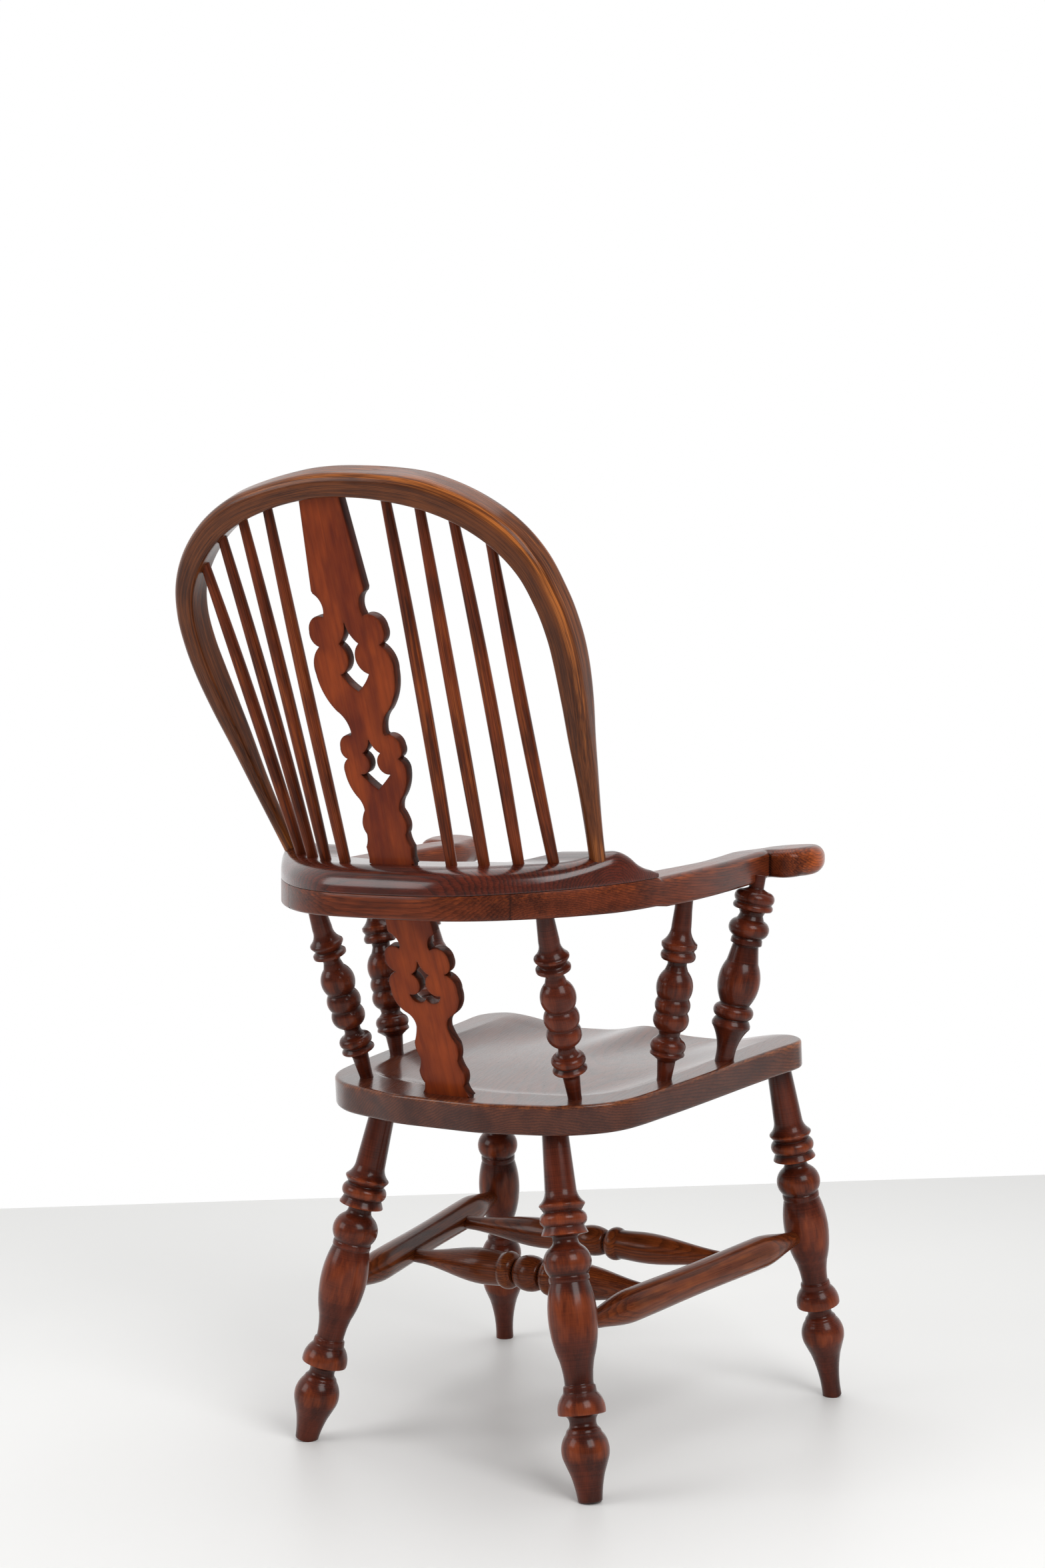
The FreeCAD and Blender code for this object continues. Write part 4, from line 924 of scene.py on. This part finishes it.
grain = np.stack(np.broadcast_arrays(loop[..., 0] + 50, loop[..., 1] + 10, bow_s[:, None]), -1) * mm
wooden("back_bow_bent", ["back_bow"], skin(bow_rings), spread(grain), spread(rub), spread(soil), bow_wood, 50)

# Sticks: eight slim turned sticks fan out from the crest into the underside of the bow.
# They are thickest a third of the way up, and the brown stain is streaked where hands have worn it.
# Each bends its own way, and those on the right reach deeper, as the bow has sprung away from them.

stick_wood = stained("stick_ash", 0.3, 0.2, stain=(64, 27, 15), warm=(118, 52, 25), bare=(164, 84, 37),
                     ring_size=0.0017, ring_depth=0.4, pore_depth=0.3, cloud=0.6, streak=0.5, wear=0.6, gloss=0.32)
for rank, (x, y, top_x, top_rise, bends) in enumerate((
    (72.2, 330.6, 78.2, 423.7, (1.5, -2.4)), (107.7, 320.4, 117.2, 411.2, (-2.0, 0.0)),
    (140.5, 303.4, 153.6, 393.3, (-2.2, -2.8)), (172.3, 284.0, 190.7, 363.5, (-1.8, 1.6)),
), 1):
    foot = np.array([x, y, crest_flat(y)])
    head = np.array([top_x, bow_foot_y + top_rise * bow_lean / bow_run, bow_foot_z + top_rise / bow_run])
    span = np.linalg.norm(head - foot)
    for (hand, sign), bend, end in zip(hands, bends, (span + 8, span + 8 + 3.2 * rank)):
        path = [(-12, 0), (-12, 6.3), (3, 6.3), (span * 0.38, 7.3, span - 4, 5.4), (end, 5.4), (end, 0)]
        turned("back_spindle_%s_%d" % (hand, rank), path, foot * (sign, 1, 1), head * (sign, 1, 1),
               stick_wood, 70 + 3 * rank + sign, around=28, rub_gain=0.6, bend=bend)

# Studio: a plain pale floor, a white wall ahead of the camera and a dimmer room behind it, with soft lamps.
# The camera stands behind the chair and to its right, 82 cm above the floor.

corners = [(-1.17136, 15.86882, 0), (-16.02359, 2.57884, 0), (-6.68802, -7.85414, 0), (8.16422, 5.43584, 0)]
floor_mesh = bpy.data.meshes.new("studio_floor")
floor_mesh.from_pydata(corners, [], [(0, 1, 2, 3)])
floor = bpy.data.objects.new("studio_floor", floor_mesh)
scene.collection.objects.link(floor)
pale = bpy.data.materials.new("pale_floor")
pale.use_nodes = True
shader = pale.node_tree.nodes["Principled BSDF"]
shader.inputs["Base Color"].default_value = colour(232, 232, 231)
shader.inputs["Roughness"].default_value = 0.45
floor_mesh.materials.append(pale)

# The camera sees plain white; mirrored light comes from the wall and the dim room, soft light from all round.
world = bpy.data.worlds.new("studio_white")
scene.world = world
world.use_nodes = True
nodes, links = world.node_tree.nodes, world.node_tree.links


def larger(a, b):
    """Output of a node that gives the larger of two values."""
    node = nodes.new("ShaderNodeMath")
    node.operation = "MAXIMUM"
    links.new(a, node.inputs[0])
    links.new(b, node.inputs[1])
    return node.outputs[0]


aim = nodes.new("ShaderNodeTexCoord")
ahead = nodes.new("ShaderNodeVectorMath")
ahead.operation = "DOT_PRODUCT"
ahead.inputs[1].default_value = (0.55, -0.835, 0.0)
links.new(aim.outputs["Generated"], ahead.inputs[0])
wall = nodes.new("ShaderNodeMapRange")
wall.interpolation_type = "SMOOTHSTEP"
for target, number in zip(wall.inputs[1:], (-0.3, 0.4, 0.22, 1.0)):
    target.default_value = number
links.new(ahead.outputs["Value"], wall.inputs[0])
rays = nodes.new("ShaderNodeLightPath").outputs
seen = nodes["Background"]
seen.inputs["Color"].default_value = (1, 1, 1, 1)
links.new(larger(rays["Is Camera Ray"], wall.outputs[0]), seen.inputs["Strength"])
glow = nodes.new("ShaderNodeBackground")
glow.inputs["Color"].default_value = (1.0, 0.995, 0.985, 1)
glow.inputs["Strength"].default_value = 0.48
direct = larger(larger(rays["Is Camera Ray"], rays["Is Glossy Ray"]), rays["Is Transmission Ray"])
either = nodes.new("ShaderNodeMixShader")
for target, source in enumerate((direct, glow.outputs[0], seen.outputs[0])):
    links.new(source, either.inputs[target])
links.new(either.outputs[0], nodes["World Output"].inputs["Surface"])

for name, spot, size, power in (
    ("key_lamp", (-2.6, 1.2, 2.4), 1.8, 66),
    ("fill_lamp", (2.2, 2.6, 1.9), 1.8, 43),
    ("top_lamp", (0.2, -0.3, 3.2), 2.2, 37),
):
    lamp = bpy.data.lights.new(name, "AREA")
    lamp.size, lamp.energy = size, power
    shade = bpy.data.objects.new(name, lamp)
    shade.location = spot
    shade.rotation_euler = (Vector((0, 0, 0.5)) - Vector(spot)).to_track_quat("-Z", "Y").to_euler()
    scene.collection.objects.link(shade)

lens = bpy.data.cameras.new("viewpoint")
lens.lens = 50.26
lens.clip_start, lens.clip_end = 0.05, 60
camera = bpy.data.objects.new("viewpoint", lens)
scene.collection.objects.link(camera)
scene.camera = camera
yaw, pitch, roll = 0.583041, -0.018893, -0.002176
camera.matrix_world = (
    Matrix.Translation((-1.42845, 2.13416, 0.81902)) @ Matrix.Rotation(math.pi + yaw, 4, "Z")
    @ Matrix.Rotation(math.pi / 2 + pitch, 4, "X") @ Matrix.Rotation(roll, 4, "Z")
)
